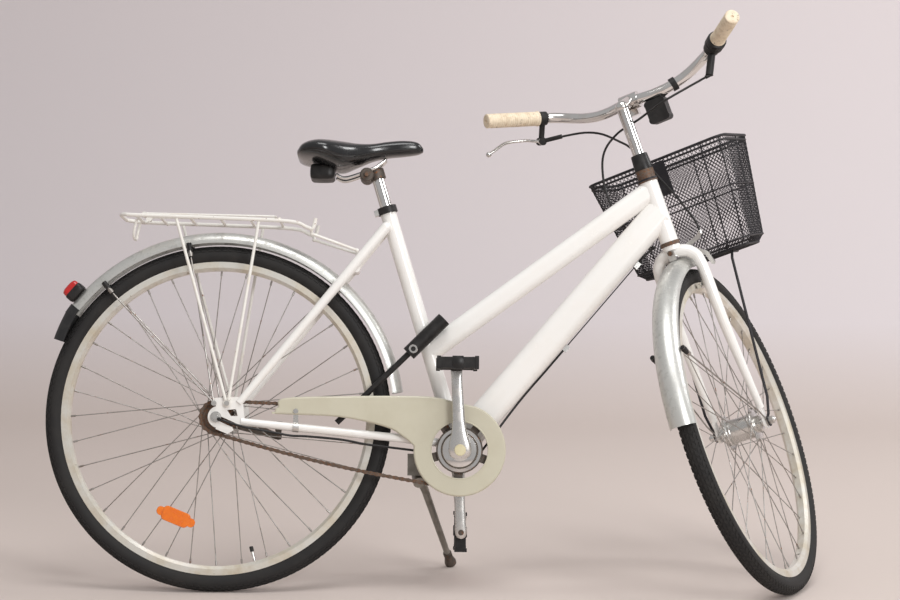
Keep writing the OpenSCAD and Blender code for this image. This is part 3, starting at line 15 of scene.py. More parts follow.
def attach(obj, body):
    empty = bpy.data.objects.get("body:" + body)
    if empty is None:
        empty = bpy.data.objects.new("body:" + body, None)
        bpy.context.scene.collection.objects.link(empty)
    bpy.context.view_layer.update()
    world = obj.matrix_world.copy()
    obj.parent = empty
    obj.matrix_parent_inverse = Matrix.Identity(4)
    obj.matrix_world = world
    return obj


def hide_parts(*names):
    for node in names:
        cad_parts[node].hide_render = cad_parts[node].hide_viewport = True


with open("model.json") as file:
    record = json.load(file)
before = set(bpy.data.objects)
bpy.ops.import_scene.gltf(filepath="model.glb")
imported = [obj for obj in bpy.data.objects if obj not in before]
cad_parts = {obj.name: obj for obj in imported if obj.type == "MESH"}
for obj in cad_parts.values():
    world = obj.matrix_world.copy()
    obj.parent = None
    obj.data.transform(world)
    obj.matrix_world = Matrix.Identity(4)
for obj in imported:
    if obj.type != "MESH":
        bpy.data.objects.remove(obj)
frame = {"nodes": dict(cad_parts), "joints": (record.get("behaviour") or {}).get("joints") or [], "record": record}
scene = bpy.context.scene
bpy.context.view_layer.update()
scene.view_settings.view_transform = "Standard"

# %% [markdown]
# ## Axes to build in
# A bicycle is easiest to describe upright: x ahead, y to the left, z up, in millimetres.
# The real one leans, and its bars are turned, so the joints of the solid model tell us how to
# carry upright coordinates to their true place. One matrix does it for the frame, one for the fork.
# %% Matrices from the joints
MM = 0.001
joint = {j["name"]: j for j in frame["joints"]}


def axes(origin, x, y, z):
    turn = Matrix((Vector(x).normalized(), Vector(y).normalized(), Vector(z).normalized())).transposed()
    return Matrix.Translation(Vector(origin)) @ turn.to_4x4()


AXLE_UP = 350
leaning_y = Vector(joint["rear_wheel_spin"]["axis"])
ahead = Vector((1, 0, 0))
REAR = axes(joint["rear_wheel_spin"]["pos_m"], ahead, leaning_y, ahead.cross(leaning_y))
BIKE = REAR @ Matrix.Translation((0, 0, -AXLE_UP * MM))
CRANK = axes(joint["crank_spin"]["pos_m"], ahead, leaning_y, ahead.cross(leaning_y))
HEAD_LOW, HEAD_LEN = 392, 132
up = Vector(joint["steer_turn"]["axis"])
left = Vector(joint["front_wheel_spin"]["axis"])
foot_of_column = Vector(joint["steer_turn"]["pos_m"]) - (HEAD_LOW + HEAD_LEN / 2) * MM * up
FORK = axes(foot_of_column, left.cross(up), left, up)
FRONT = axes(joint["front_wheel_spin"]["pos_m"], left.cross(up), left, up)
FRONT_S = (FORK.inverted() @ FRONT.translation).z / MM
print("front axle along the steering axis:", round(FRONT_S, 2), "mm")

# %% [markdown]
# ## The camera
# It stands level with the saddle, about three and a half metres to the right of the bicycle, with
# a moderate telephoto lens, so that the near and far sides of the wheels look much the same size.
# %% Camera
LENS = 70.15
CAMERA_AT = (-0.1008, -3.6090, 0.7205)
YAW, PITCH, ROLL = (math.radians(a) for a in (-1.6541, -2.0696, -0.6816))
camera = bpy.data.objects.new("camera", bpy.data.cameras.new("camera"))
camera.data.lens, camera.data.sensor_width = LENS, 36
look = (Matrix.Rotation(YAW, 4, "Z") @ Matrix.Rotation(PITCH, 4, "X") @ Matrix.Rotation(ROLL, 4, "Y")
        @ Matrix.Rotation(math.radians(90), 4, "X"))
camera.matrix_world = Matrix.Translation(CAMERA_AT) @ look
scene.collection.objects.link(camera)
scene.camera = camera
print("lens", LENS, "mm at", CAMERA_AT)

# %% [markdown]
# ## Finishes
# Nothing on a used bicycle is one flat colour. Most finishes here share a recipe: a base colour
# drifts a little over the part, a second colour stains it in patches, a third spots it (rust or
# grime), roughness follows the stains and a fine grain makes the small bumps.
# Values that never change over a part sit on the shader's own sockets.
# %% The shared recipe for a worn finish


def colour(c):
    return (*c, 1.0)


def add(tree, kind, **sockets):
    new = tree.nodes.new("ShaderNode" + kind)
    for name, value in sockets.items():
        new.inputs[name].default_value = value
    return new


def patches(tree, where, size, start, stop, detail=6.0):
    noise = add(tree, "TexNoise", Scale=1 / size, Detail=detail, Roughness=0.6)
    tree.links.new(where, noise.inputs["Vector"])
    limit = tree.nodes.new("ShaderNodeMapRange")
    limit.inputs["From Min"].default_value, limit.inputs["From Max"].default_value = start, stop
    tree.links.new(noise.outputs["Fac"], limit.inputs["Value"])
    return limit.outputs["Result"]


def blend(tree, amount, a, b):
    mix = tree.nodes.new("ShaderNodeMix")
    mix.data_type = "RGBA"
    tree.links.new(amount, mix.inputs["Factor"])
    for socket, c in ((mix.inputs[6], a), (mix.inputs[7], b)):
        if isinstance(c, tuple):
            socket.default_value = colour(c)
        else:
            tree.links.new(c, socket)
    return mix.outputs[2]


def worn(name, base, stain, spot, rough, metal=0.0, stain_size=0.08, stained=(0.45, 0.75),
        spot_size=0.02, spotted=(0.66, 0.72), grain_size=0.001, grain=0.05, coat=0.0, rougher=0.2):
    made = bpy.data.materials.new(name)
    made.use_nodes = True
    tree = made.node_tree
    shader = tree.nodes["Principled BSDF"]
    shader.inputs["Metallic"].default_value = metal
    shader.inputs["Coat Weight"].default_value = coat
    shader.inputs["Coat Roughness"].default_value = 0.08
    where = tree.nodes.new("ShaderNodeTexCoord").outputs["Object"]
    stains = patches(tree, where, stain_size, *stained)
    spots = patches(tree, where, spot_size, *spotted, detail=10.0)
    tint = blend(tree, spots, blend(tree, stains, base, stain), spot)
    tree.links.new(tint, shader.inputs["Base Color"])
    gloss = tree.nodes.new("ShaderNodeMapRange")
    gloss.inputs["To Min"].default_value, gloss.inputs["To Max"].default_value = rough, rough + rougher
    tree.links.new(stains, gloss.inputs["Value"])
    tree.links.new(gloss.outputs["Result"], shader.inputs["Roughness"])
    fine = add(tree, "TexNoise", Scale=1 / grain_size, Detail=3.0)
    tree.links.new(where, fine.inputs["Vector"])
    bump = add(tree, "Bump", Strength=grain, Distance=0.0005)
    tree.links.new(fine.outputs["Fac"], bump.inputs["Height"])
    tree.links.new(bump.outputs["Normal"], shader.inputs["Normal"])
    return made


RUST = (0.22, 0.085, 0.03)
GRIME = (0.10, 0.085, 0.07)

# %% [markdown]
# ## Paint, metal, plastic and rubber
# White enamel has yellowed a little and is chipped to rust in pin-head spots; the rack, which is
# knocked more, shows far more of it. Chrome is smooth and bright, the cranks are polished and the
# mudguards are dull. Old black plastic greys, and tyre rubber is dusty.
# %% Make the finishes
FINISH = {
    "white_paint": worn("white_paint", (0.90, 0.885, 0.855), (0.85, 0.81, 0.75), (0.45, 0.33, 0.24),
        0.22, stain_size=0.14, stained=(0.5, 0.85), spot_size=0.016, spotted=(0.735, 0.77),
        grain_size=0.003, grain=0.03, coat=0.35),
    "rack_paint": worn("rack_paint", (0.84, 0.82, 0.77), (0.78, 0.70, 0.60), RUST, 0.32,
        stain_size=0.03, stained=(0.55, 0.8), spot_size=0.012, spotted=(0.665, 0.70), grain=0.12),
    "chrome": worn("chrome", (0.78, 0.77, 0.76), (0.70, 0.66, 0.62), (0.33, 0.24, 0.18), 0.09,
        metal=1.0, stain_size=0.05, spot_size=0.009, spotted=(0.72, 0.78), grain=0.02, rougher=0.12),
    "alloy": worn("alloy", (0.72, 0.71, 0.69), (0.60, 0.58, 0.55), (0.34, 0.30, 0.25), 0.24, metal=1.0,
        stain_size=0.02, spot_size=0.006, spotted=(0.70, 0.80), grain=0.06),
    "steel_sheet": worn("steel_sheet", (0.70, 0.70, 0.67), (0.56, 0.56, 0.53), (0.32, 0.29, 0.25),
        0.34, metal=0.75, stain_size=0.012, stained=(0.5, 0.68), spot_size=0.005, spotted=(0.70, 0.78),
        grain_size=0.002, grain=0.10),
    "rim_metal": worn("rim_metal", (0.80, 0.78, 0.72), (0.62, 0.55, 0.43), (0.50, 0.45, 0.37), 0.34,
        metal=0.55, stain_size=0.05, stained=(0.4, 0.7), grain=0.06),
    "spoke_steel": worn("spoke_steel", (0.42, 0.40, 0.38), (0.24, 0.21, 0.18), RUST, 0.36, metal=0.9,
        stain_size=0.03, spot_size=0.01, spotted=(0.60, 0.70)),
    "rusty_steel": worn("rusty_steel", (0.145, 0.105, 0.08), (0.075, 0.058, 0.048),
        (0.17, 0.075, 0.035), 0.55, metal=0.4, stain_size=0.006, spot_size=0.004, spotted=(0.5, 0.6),
        grain=0.4),
    "dark_steel": worn("dark_steel", (0.13, 0.11, 0.095), (0.07, 0.055, 0.045), RUST, 0.48, metal=0.7,
        stain_size=0.02, spot_size=0.008, spotted=(0.58, 0.68), grain=0.2),
    "stand_metal": worn("stand_metal", (0.30, 0.285, 0.255), (0.20, 0.185, 0.16), (0.42, 0.38, 0.33),
        0.42, metal=0.6, stain_size=0.03, spot_size=0.006, grain=0.2),
    "black_plastic": worn("black_plastic", (0.018, 0.017, 0.017), (0.034, 0.032, 0.031), GRIME, 0.36,
        stain_size=0.02, spotted=(0.68, 0.8), grain_size=0.0008, grain=0.12),
    "black_wire": worn("black_wire", (0.022, 0.021, 0.024), (0.035, 0.033, 0.036), RUST, 0.42,
        stain_size=0.04, spot_size=0.03, spotted=(0.70, 0.76), grain=0.1),
    "tyre_rubber": worn("tyre_rubber", (0.021, 0.020, 0.020), (0.036, 0.034, 0.032),
        (0.08, 0.07, 0.062), 0.66, stain_size=0.06, spot_size=0.012, spotted=(0.68, 0.8), grain=0.3),
    "flap_rubber": worn("flap_rubber", (0.025, 0.025, 0.026), (0.05, 0.048, 0.046), GRIME, 0.45,
        stain_size=0.03, grain=0.15),
    "guard_plastic": worn("guard_plastic", (0.60, 0.57, 0.45), (0.54, 0.505, 0.385),
        (0.32, 0.29, 0.21), 0.30, stain_size=0.09, spot_size=0.006, spotted=(0.76, 0.82), grain=0.05,
        coat=0.15),
    "grip_cream": worn("grip_cream", (0.82, 0.70, 0.53), (0.62, 0.49, 0.34), (0.20, 0.15, 0.10), 0.55,
        stain_size=0.012, stained=(0.48, 0.7), spot_size=0.007, spotted=(0.60, 0.72),
        grain_size=0.0012, grain=0.35),
    "saddle_vinyl": worn("saddle_vinyl", (0.007, 0.007, 0.008), (0.012, 0.012, 0.013),
        (0.06, 0.057, 0.054), 0.20, stain_size=0.05, spot_size=0.01, spotted=(0.74, 0.84),
        grain_size=0.0009, grain=0.10, coat=0.4),
    "amber_lens": worn("amber_lens", (0.92, 0.22, 0.012), (0.80, 0.15, 0.008), (0.60, 0.10, 0.006),
        0.18, stain_size=0.01, grain=0.05, coat=0.6),
    "red_lens": worn("red_lens", (0.55, 0.012, 0.01), (0.42, 0.008, 0.008), (0.25, 0.006, 0.006), 0.16,
        stain_size=0.01, grain=0.05, coat=0.6),
    "cap_cream": worn("cap_cream", (0.74, 0.68, 0.45), (0.66, 0.58, 0.36), (0.5, 0.42, 0.26), 0.4,
        stain_size=0.01, grain=0.05),
}
for name in ("tyre_rubber", "black_plastic", "black_wire", "flap_rubber"):
    FINISH[name].node_tree.nodes["Principled BSDF"].inputs["Specular IOR Level"].default_value = 0.28
print(len(FINISH), "finishes")

# %% [markdown]
# ## Dress the solids
# Where the solid's own shape is right, such as a frame tube, only its material changes.
# The record names a finish for every solid; a few are picked more closely here.
# %% Put the finishes on the solids
own_finish = {"rack": "rack_paint", "rack_spring_clip": "rack_paint", "rear_rim": "rim_metal",
        "front_rim": "rim_metal", "kickstand_leg": "stand_metal", "kickstand_bracket": "stand_metal",
        "fork": "white_paint", "bearing_cups": "rusty_steel", "coaster_brake_arm": "dark_steel"}
slot_of_node = {s["node"]: s["material_slot"] for s in frame["record"]["subparts"]}
for node, thing in frame["nodes"].items():
    chosen = FINISH[own_finish.get(node, slot_of_node[node])]
    if not thing.material_slots:
        thing.data.materials.append(chosen)
    for s in thing.material_slots:
        s.material = chosen
print("dressed", len(frame["nodes"]), "solids")

# %% [markdown]
# ## One way to make almost any part
# Tubes, wires, rims, cranks and saddles can all be seen as a row of closed rings joined by skin,
# called a loft. So one function joins rings, and small helpers lay the rings out: along a path, or
# spun round an axis. Everything is given in millimetres in the upright axes.
# %% Loft helpers


def skin(rings, closed=False):
    n, rows = len(rings[0]), len(rings)
    faces = []
    for i in range(rows if closed else rows - 1):
        a, b = i * n, (i + 1) % rows * n
        faces += [(a + k, a + (k + 1) % n, b + (k + 1) % n, b + k) for k in range(n)]
    if not closed:
        faces += [tuple(reversed(range(n))), tuple(range((rows - 1) * n, rows * n))]
    return [Vector(p) for ring in rings for p in ring], faces


def smooth(points, steps=6):
    knots = [Vector(p) for p in points]
    out = []
    for i in range(len(knots) - 1):
        a, b, c, d = knots[max(i - 1, 0)], knots[i], knots[i + 1], knots[min(i + 2, len(knots) - 1)]
        for s in range(steps):
            t = s / steps
            out.append(0.5 * (2 * b + (c - a) * t + (2 * a - 5 * b + 4 * c - d) * t * t
                    + (3 * b - a - 3 * c + d) * t ** 3))
    return out + [knots[-1]]


def tube(path, radius, sides=16, flat=1.0, side_on=None, domed=False, bore=0.0):
    path = [Vector(p) for p in path]
    radii = list(radius) if isinstance(radius, (list, tuple)) else [radius] * len(path)
    if len(radii) != len(path):
        knots = [Vector((r, 0, 0)) for r in radii]
        fine = smooth(knots, 12)
        radii = [fine[round(i * (len(fine) - 1) / (len(path) - 1))].x for i in range(len(path))]
    if domed:
        for end in (0, -1):
            way = (path[0] - path[1] if end == 0 else path[-1] - path[-2]).normalized()
            tip, r = path[end], radii[end]
            extra = [(tip + way * r * 0.55 * math.sin(math.radians(a)), r * math.cos(math.radians(a)))
                    for a in (35, 62, 82)]
            if end == 0:
                path, radii = [p for p, _ in reversed(extra)] + path, [q
                        for _, q in reversed(extra)] + radii
            else:
                path, radii = path + [p for p, _ in extra], radii + [q for _, q in extra]
    start = (path[1] - path[0]).normalized()
    side = Vector(side_on) if side_on else start.orthogonal()
    rings, inner = [], []
    for i, p in enumerate(path):
        t = (path[min(i + 1, len(path) - 1)] - path[max(i - 1, 0)]).normalized()
        side = (side - t * side.dot(t)).normalized()
        other = t.cross(side)
        turn = [2 * math.pi * k / sides for k in range(sides)]
        rings.append([p + radii[i] * (math.cos(a) * side + flat * math.sin(a) * other) for a in turn])
        inner.append([p + bore * (math.cos(a) * side + math.sin(a) * other) for a in turn])
    if bore:
        return skin(rings + inner[::-1], closed=True)
    return skin(rings)


def turned(at, way, profile, sides=32, hollow=False):
    at, way = Vector(at), Vector(way).normalized()
    side = way.orthogonal().normalized()
    other = way.cross(side)
    turn = [2 * math.pi * k / sides for k in range(sides)]
    rings = [[at + way * h + r * (math.cos(a) * side + math.sin(a) * other) for a in turn]
            for r, h in profile]
    return skin(rings, closed=hollow)


def spun(section, start=0.0, stop=360.0, steps=128):
    whole = stop - start >= 360
    count = steps if whole else steps + 1
    turn = [math.radians(start + (stop - start) * i / steps) for i in range(count)]
    return skin([[(r * math.cos(a), y, r * math.sin(a)) for r, y in section] for a in turn],
            closed=whole)


def slab(outline, low, high, edge=1.0, flat_axis="y"):
    # a plate with softened edges, from an outline that is wound either way
    mid = sum((Vector((*p, 0)) for p in outline), Vector()) / len(outline)
    def ring(h, inset):
        out = []
        for u, v in outline:
            d = Vector((u, v, 0)) - mid
            d *= 1 - inset / max(d.length, 1e-6)
            u2, v2 = mid.x + d.x, mid.y + d.y
            out.append((u2, h, v2) if flat_axis == "y" else (u2, v2, h) if flat_axis == "z"
                    else (h, u2, v2))
        return out
    return skin([ring(low, edge), ring(low + edge, 0), ring(high - edge, 0), ring(high, edge)])


def block(low, high):
    x, y, z = zip(low, high)
    corners = [Vector((x[i], y[j], z[k])) for i in (0, 1) for j in (0, 1) for k in (0, 1)]
    return corners, [(0, 1, 3, 2), (4, 6, 7, 5), (0, 4, 5, 1), (2, 3, 7, 6), (0, 2, 6, 4), (1, 5, 7, 3)]


def piece(name, shapes, place, body, finish, stands_for=(), sharp=38, bevel=0.0, subdivide=0):
    verts, faces = [], []
    for points, sides in shapes:
        base = len(verts)
        verts += [place @ (Vector(p) * MM) for p in points]
        faces += [tuple(base + i for i in f) for f in sides]
    mesh = bpy.data.meshes.new(name)
    mesh.from_pydata(verts, [], faces)
    work = bmesh.new()
    work.from_mesh(mesh)
    bmesh.ops.recalc_face_normals(work, faces=work.faces)
    work.to_mesh(mesh)
    work.free()
    mesh.shade_smooth()
    mesh.set_sharp_from_angle(angle=math.radians(sharp))
    mesh.materials.append(FINISH[finish])
    made = bpy.data.objects.new(name, mesh)
    scene.collection.objects.link(made)
    if bevel:
        soft = made.modifiers.new("soft edges", "BEVEL")
        soft.width, soft.segments, soft.limit_method = bevel * MM, 2, "ANGLE"
        soft.angle_limit = math.radians(40)
    if subdivide:
        fine = made.modifiers.new("smooth", "SUBSURF")
        fine.levels = fine.render_levels = subdivide
    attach(made, body)
    if stands_for:
        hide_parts(*stands_for)
    return made

# %% [markdown]
# ## Tyres
# A tyre is a round casing with rubber blocks moulded on its crown. The casing is one section spun
# about the axle. Each block is a tiny six-sided patch that follows the same round section, so the
# tread can be laid out in rows by two angles: round the wheel and round the casing.
# %% Casing and tread of both tyres
CREST, CASING = 331, 17.7
PITCHES = 150
ROWS = [(-61, 7, 0.80, 0.0), (-41, 8, 0.62, 0.4), (-20, 8, 0.66, -0.4), (0, 7, 0.74, 0.0),
        (20, 8, 0.66, 0.4), (41, 8, 0.62, -0.4), (61, 7, 0.80, 0.0)]


def tyre_point(around, over, r):
    a, b = math.radians(around), math.radians(over)
    reach = CREST + r * math.cos(b)
    return Vector((reach * math.cos(a), r * math.sin(b), reach * math.sin(a)))


def tread_block(around, over, half, share, slant, offset):
    step = 360 / PITCHES
    long = step * share / 2
    ends = [(-long, -half), (long, -half), (long, half), (-long, half)]
    low = [tyre_point(around + u + slant * step * v / half * 0.5 + offset, over + v, CASING - 0.6)
           for u, v in ends]
    top = [tyre_point(around + 0.86 * u + slant * step * v / half * 0.43 + offset, over + 0.86 * v,
            19.0) for u, v in ends]
    return low + top, [(4, 5, 6, 7), (0, 1, 5, 4), (1, 2, 6, 5), (2, 3, 7, 6), (3, 0, 4, 7)]


def tyre_section():
    out = []
    for k in range(27):
        a = math.radians(-134 + 268 * k / 26)
        out.append((max(CREST + CASING * math.cos(a), 316.5), CASING * math.sin(a)))
    return out + [(314.5, 10), (314.5, -10)]


for name, place, body in (("front", FRONT, "front_wheel"), ("rear", REAR, "rear_wheel")):
    piece(name + "_tyre_casing", [spun(tyre_section(), steps=160)], place, body, "tyre_rubber",
          stands_for=[name + "_tyre"])
    blocks = [tread_block(360 * i / PITCHES, over, half, share, slant, 1.2 * (row % 2))
            for i in range(PITCHES) for row, (over, half, share, slant) in enumerate(ROWS)]
    piece(name + "_tyre_tread", blocks, place, body, "tyre_rubber", sharp=30)
    print(name, "tyre:", len(blocks), "blocks")

# %% [markdown]
# ## Hubs
# A hub shell is turned metal, so its outline spun about the axle gives the flanges, the waist and
# the end caps in one go. The front one is a wide drum with ribs, the rear one is slimmer.
# Both are alike on their two sides, so half of each outline is written and then mirrored.
# %% Hub shells


def mirrored(half):
    return half + [(r, -y) for r, y in half[-2::-1]]


FRONT_SHELL = mirrored([(5.1, -44), (14, -44), (17.5, -42), (18, -34), (23, -33), (34, -32),
        (36.5, -31), (36.5, -29), (34, -28.4), (28, -28), (26.2, -26), (25.6, -22), (26.2, -21),
        (25.4, -20), (25.2, 0)])
REAR_SHELL = mirrored([(5.1, -36), (17, -36), (19.6, -35), (20, -31.5), (33, -30.8), (34.5, -30),
        (34.5, -28), (33, -27.4), (24, -27), (20, -24), (18.6, 0)])
piece("front_hub_shell", [spun(FRONT_SHELL, steps=64)], FRONT, "front_wheel", "alloy",
      stands_for=["front_hub"], sharp=28)
piece("rear_hub_shell", [spun(REAR_SHELL, steps=64)], REAR, "rear_wheel", "dark_steel",
      stands_for=["rear_hub"], sharp=28)

# %% [markdown]
# ## Reflector and valve
# The reflector is an oblong amber prism clipped over the spokes: a wide ribbed middle with a
# narrower ear at each end. The valve stands out of the rim with a black cap.
# %% Spoke reflector and valve
REFLECTOR_ANGLE, REFLECTOR_R = math.radians(-112), 216
VALVE_ANGLE, VALVE_FOOT, CAP_FOOT = math.radians(-75), 299, 279
radial = Vector((math.cos(REFLECTOR_ANGLE), 0, math.sin(REFLECTOR_ANGLE)))
along_rim = Vector((-radial.z, 0, radial.x))
REFLECTOR = axes((REAR.to_3x3() @ (radial * REFLECTOR_R * MM)) + REAR.translation,
        REAR.to_3x3() @ along_rim, REAR.to_3x3() @ Vector((0, 1, 0)),
        REAR.to_3x3() @ along_rim.cross(Vector((0, 1, 0))))


def rounded_oblong(wide, tall, corner, steps=6):
    out = []
    for cx, cy, start in ((1, 1, 0), (-1, 1, 90), (-1, -1, 180), (1, -1, 270)):
        for k in range(steps + 1):
            a = math.radians(start + 90 * k / steps)
            out.append((cx * (wide / 2 - corner) + corner * math.cos(a),
                    cy * (tall / 2 - corner) + corner * math.sin(a)))
    return out


ribs = [block((x - 0.7, -22.6, -12), (x + 0.7, -21.6, 12)) for x in range(-24, 25, 4)]
piece("reflector_prism", [slab(rounded_oblong(58, 30, 9), -22, -14.6, 2.0),
        slab(rounded_oblong(82, 18, 8), -20, -15, 1.5)] + ribs, REFLECTOR, "rear_wheel", "amber_lens")
valve_way = Vector((math.cos(VALVE_ANGLE), 0, math.sin(VALVE_ANGLE)))
piece("valve_stem", [turned(valve_way * VALVE_FOOT, -valve_way, [(3, 0), (3, 20), (2.6, 21), (2.6, 24)],
        16)], REAR, "rear_wheel", "alloy", stands_for=["spoke_reflector"])
piece("valve_cap", [turned(valve_way * CAP_FOOT, -valve_way,
        [(3.9, 0), (4, 1), (4, 9), (3.2, 10.5), (0.5, 11)], 20)], REAR, "rear_wheel", "black_plastic")

# %% [markdown]
# ## Chain
# A chain is a row of rollers half an inch apart, joined in turn by an inner and an outer pair of
# waisted plates. The rollers are placed along the real route: round the sprocket, along the tight
# top run, round the chainring and back with a little slack. One link is built for each gap.
# %% Links along the route
PITCH, CHAIN_Y = 12.7, -44
SPAN = Vector((488, 0, -62))
small = PITCH / (2 * math.sin(math.pi / 16))
large = PITCH / (2 * math.sin(math.pi / 38))
tilt = math.degrees(math.atan2(SPAN.z, SPAN.x))
wrap = math.degrees(math.asin((large - small) / SPAN.length))


def on_ring(centre, r, a):
    a = math.radians(a)
    return centre + Vector((r * math.cos(a), 0, r * math.sin(a)))


route = [on_ring(Vector(), small, tilt + 90 + wrap + (180 - 2 * wrap) * k / 40) for k in range(41)]
low_a, low_b = route[-1], on_ring(SPAN, large, tilt - 90 - wrap)
route += [low_a.lerp(low_b, k / 24) + Vector((0, 0, -9 * math.sin(math.pi * k / 24)))
        for k in range(1, 24)]
route += [on_ring(SPAN, large, tilt - 90 - wrap + (180 + 2 * wrap) * k / 80) for k in range(81)]
route += [route[-1].lerp(route[0], k / 24) for k in range(1, 25)]
lengths = [0.0]
for a, b in zip(route, route[1:]):
    lengths.append(lengths[-1] + (b - a).length)
links = 2 * round(lengths[-1] / PITCH / 2)


def at_length(s):
    i = max(k for k in range(len(lengths) - 1) if lengths[k] <= s + 1e-9)
    return route[i].lerp(route[i + 1], (s - lengths[i]) / max(lengths[i + 1] - lengths[i], 1e-9))


pins = [at_length(lengths[-1] * k / links * 0.999999) for k in range(links)]


def link_plate(a, b, y, thick):
    way = (b - a).normalized()
    across_way = Vector((-way.z, 0, way.x))
    outline = []
    for centre, start in ((b, -90), (a, 90)):
        for k in range(7):
            t = math.radians(start + 180 * k / 6)
            outline.append(centre + 4.1 * (math.cos(t) * way + math.sin(t) * across_way))
        waist = (a + b) / 2 + (2.9 if start < 0 else -2.9) * across_way
        outline.append(waist)
    return skin([[p + Vector((0, y, 0)) for p in outline],
            [p + Vector((0, y + thick, 0)) for p in outline]])


chain_shapes = []
for k, a in enumerate(pins):
    b = pins[(k + 1) % links]
    gap = 2.6 if k % 2 else 3.8
    chain_shapes += [link_plate(a, b, CHAIN_Y + gap - 0.55, 1.1),
            link_plate(a, b, CHAIN_Y - gap - 0.55, 1.1)]
    chain_shapes.append(turned(a + Vector((0, CHAIN_Y - 4.9, 0)), (0, 1, 0),
            [(1.8, 0), (1.8, 2), (3.6, 2.4), (3.6, 7.4), (1.8, 7.8), (1.8, 9.8)], 10))
piece("chain_links", chain_shapes, REAR, "frame", "rusty_steel", stands_for=["chain"], sharp=30)
print(links, "links")

# %% [markdown]
# ## Chain guard
# It is a thin moulded tray: a face with a soft rounded edge, a lip that turns in over the chain
# and a raised bead round the open middle. The outline is offset in a few steps to roll the edge.
# The face is a row of small fans round the circle, and one filled plate for the arm that leaves it.
# %% Moulded guard
GUARD_OUT, GUARD_IN, LIP_IN = -57.8, -56.0, -46.6
GUARD_R, GUARD_HOLE = 93, 58
arm_top = [(-365, 84), (-354, 101), (-241, 106), (-88, 108), (-40, 104)]
arm_low = [(-92.5, 8), (-116, 27), (-150, 45), (-241, 64), (-368, 69)]
outer = [Vector((GUARD_R * math.cos(math.radians(a)), GUARD_R * math.sin(math.radians(a))))
        for a in range(70, -176, -4)]
arm_tip = [(-371, 74), (-370, 80)]
arm = [Vector((p.x, p.y)) for p in smooth([(x, z, 0) for x, z in arm_low + arm_tip + arm_top], 4)]
outline = outer + arm


def inset(points, by):
    out, n = [], len(points)
    for i, p in enumerate(points):
        a, b = points[i - 1], points[(i + 1) % n]
        way = (b - a).normalized()
        out.append(p + Vector((way.y, -way.x)) * by)
    return out


def guard_ring(points, y):
    return [Vector((p.x, y, p.y)) for p in points]


lip = skin([guard_ring(inset(outline, d), y) for d, y in ((1.8, LIP_IN), (0, LIP_IN), (0, -53.5),
        (0.5, -55.6), (1.7, -57.1), (3.4, GUARD_OUT), (3.4, GUARD_IN), (2.6, -55.5), (1.8, -53.5))],
        closed=True)


def face(points, y0, y1):
    tris = tessellate_polygon([[Vector((p.x, p.y, 0)) for p in points]])
    n = len(points)
    verts = guard_ring(points, y0) + guard_ring(points, y1)
    return verts, [tuple(t) for t in tris] + [tuple(i + n for i in reversed(t)) for t in tris]


def on_hole(p):
    return p.normalized() * GUARD_HOLE


edge = inset(outline, 3.3)
round_part = edge[:len(outer)]
faces_made = []
for a, b in zip(round_part, round_part[1:]):
    faces_made.append(face([a, b, on_hole(b), on_hole(a)], GUARD_OUT, GUARD_IN))
first = math.atan2(round_part[0].y, round_part[0].x)
last = math.atan2(round_part[-1].y, round_part[-1].x)
last += 2 * math.pi if last < first else 0
turns = [first + (last - first) * k / 24 for k in range(25)]
rim = [Vector((math.cos(a), math.sin(a))) * GUARD_HOLE for a in turns]
faces_made.append(face(edge[len(outer) - 1:] + edge[:1] + rim, GUARD_OUT, GUARD_IN))
bead = spun([(GUARD_HOLE + 1.8 * math.cos(t), -57.0 + 1.5 * math.sin(t))
        for t in (2 * math.pi * k / 8 for k in range(8))], steps=96)
piece("chain_guard_shell", [lip, bead] + faces_made, CRANK, "frame", "guard_plastic",
      stands_for=["chain_guard"], sharp=50)
print("guard outline of", len(outline), "points")

# %% [markdown]
# ## Cranks and pedals
# The cranks are forged: a round boss that runs into a tapering arm and ends in an eye. The arm is a
# loft of rounded sections, so light slides along it. The right one carries a wide polished disc.
# The pedals are black plastic cages round a bearing barrel, with an amber reflector front and back.
# %% Cranks
CRANK_LEN, CRANK_ANGLE = 170, math.radians(92.9)
crank_way = Vector((math.cos(CRANK_ANGLE), 0, math.sin(CRANK_ANGLE)))
crank_side = Vector((-crank_way.z, 0, crank_way.x))


def crank_shapes(s):
    way = crank_way * (1 if s < 0 else -1)
    rings = []
    for t, wide, thick in ((-16, 14, 7), (-12, 20, 11), (0, 23, 13), (14, 21.5, 13.4), (34, 15.5, 13),
            (60, 12.6, 12.6), (110, 11.4, 12.4), (145, 11.2, 12.2), (164, 12.6, 12.4),
            (174, 11.6, 11.6), (180, 8.4, 9.5), (183.2, 3.5, 6)):
        ring = []
        for k in range(24):
            a = 2 * math.pi * k / 24
            u, v = math.cos(a), math.sin(a)
            u, v = math.copysign(abs(u) ** 0.75, u), math.copysign(abs(v) ** 0.75, v)
            ring.append(way * t + crank_side * wide * u + Vector((0, s * (77.2 + thick / 2 * v), 0)))
        rings.append(ring)
    boss = turned((0, s * 51.2, 0), (0, s, 0), [(10, 0), (17.5, 0), (18, 1), (20, 19), (22, 22),
            (10, 24)], 40)
    return [skin(rings), boss]


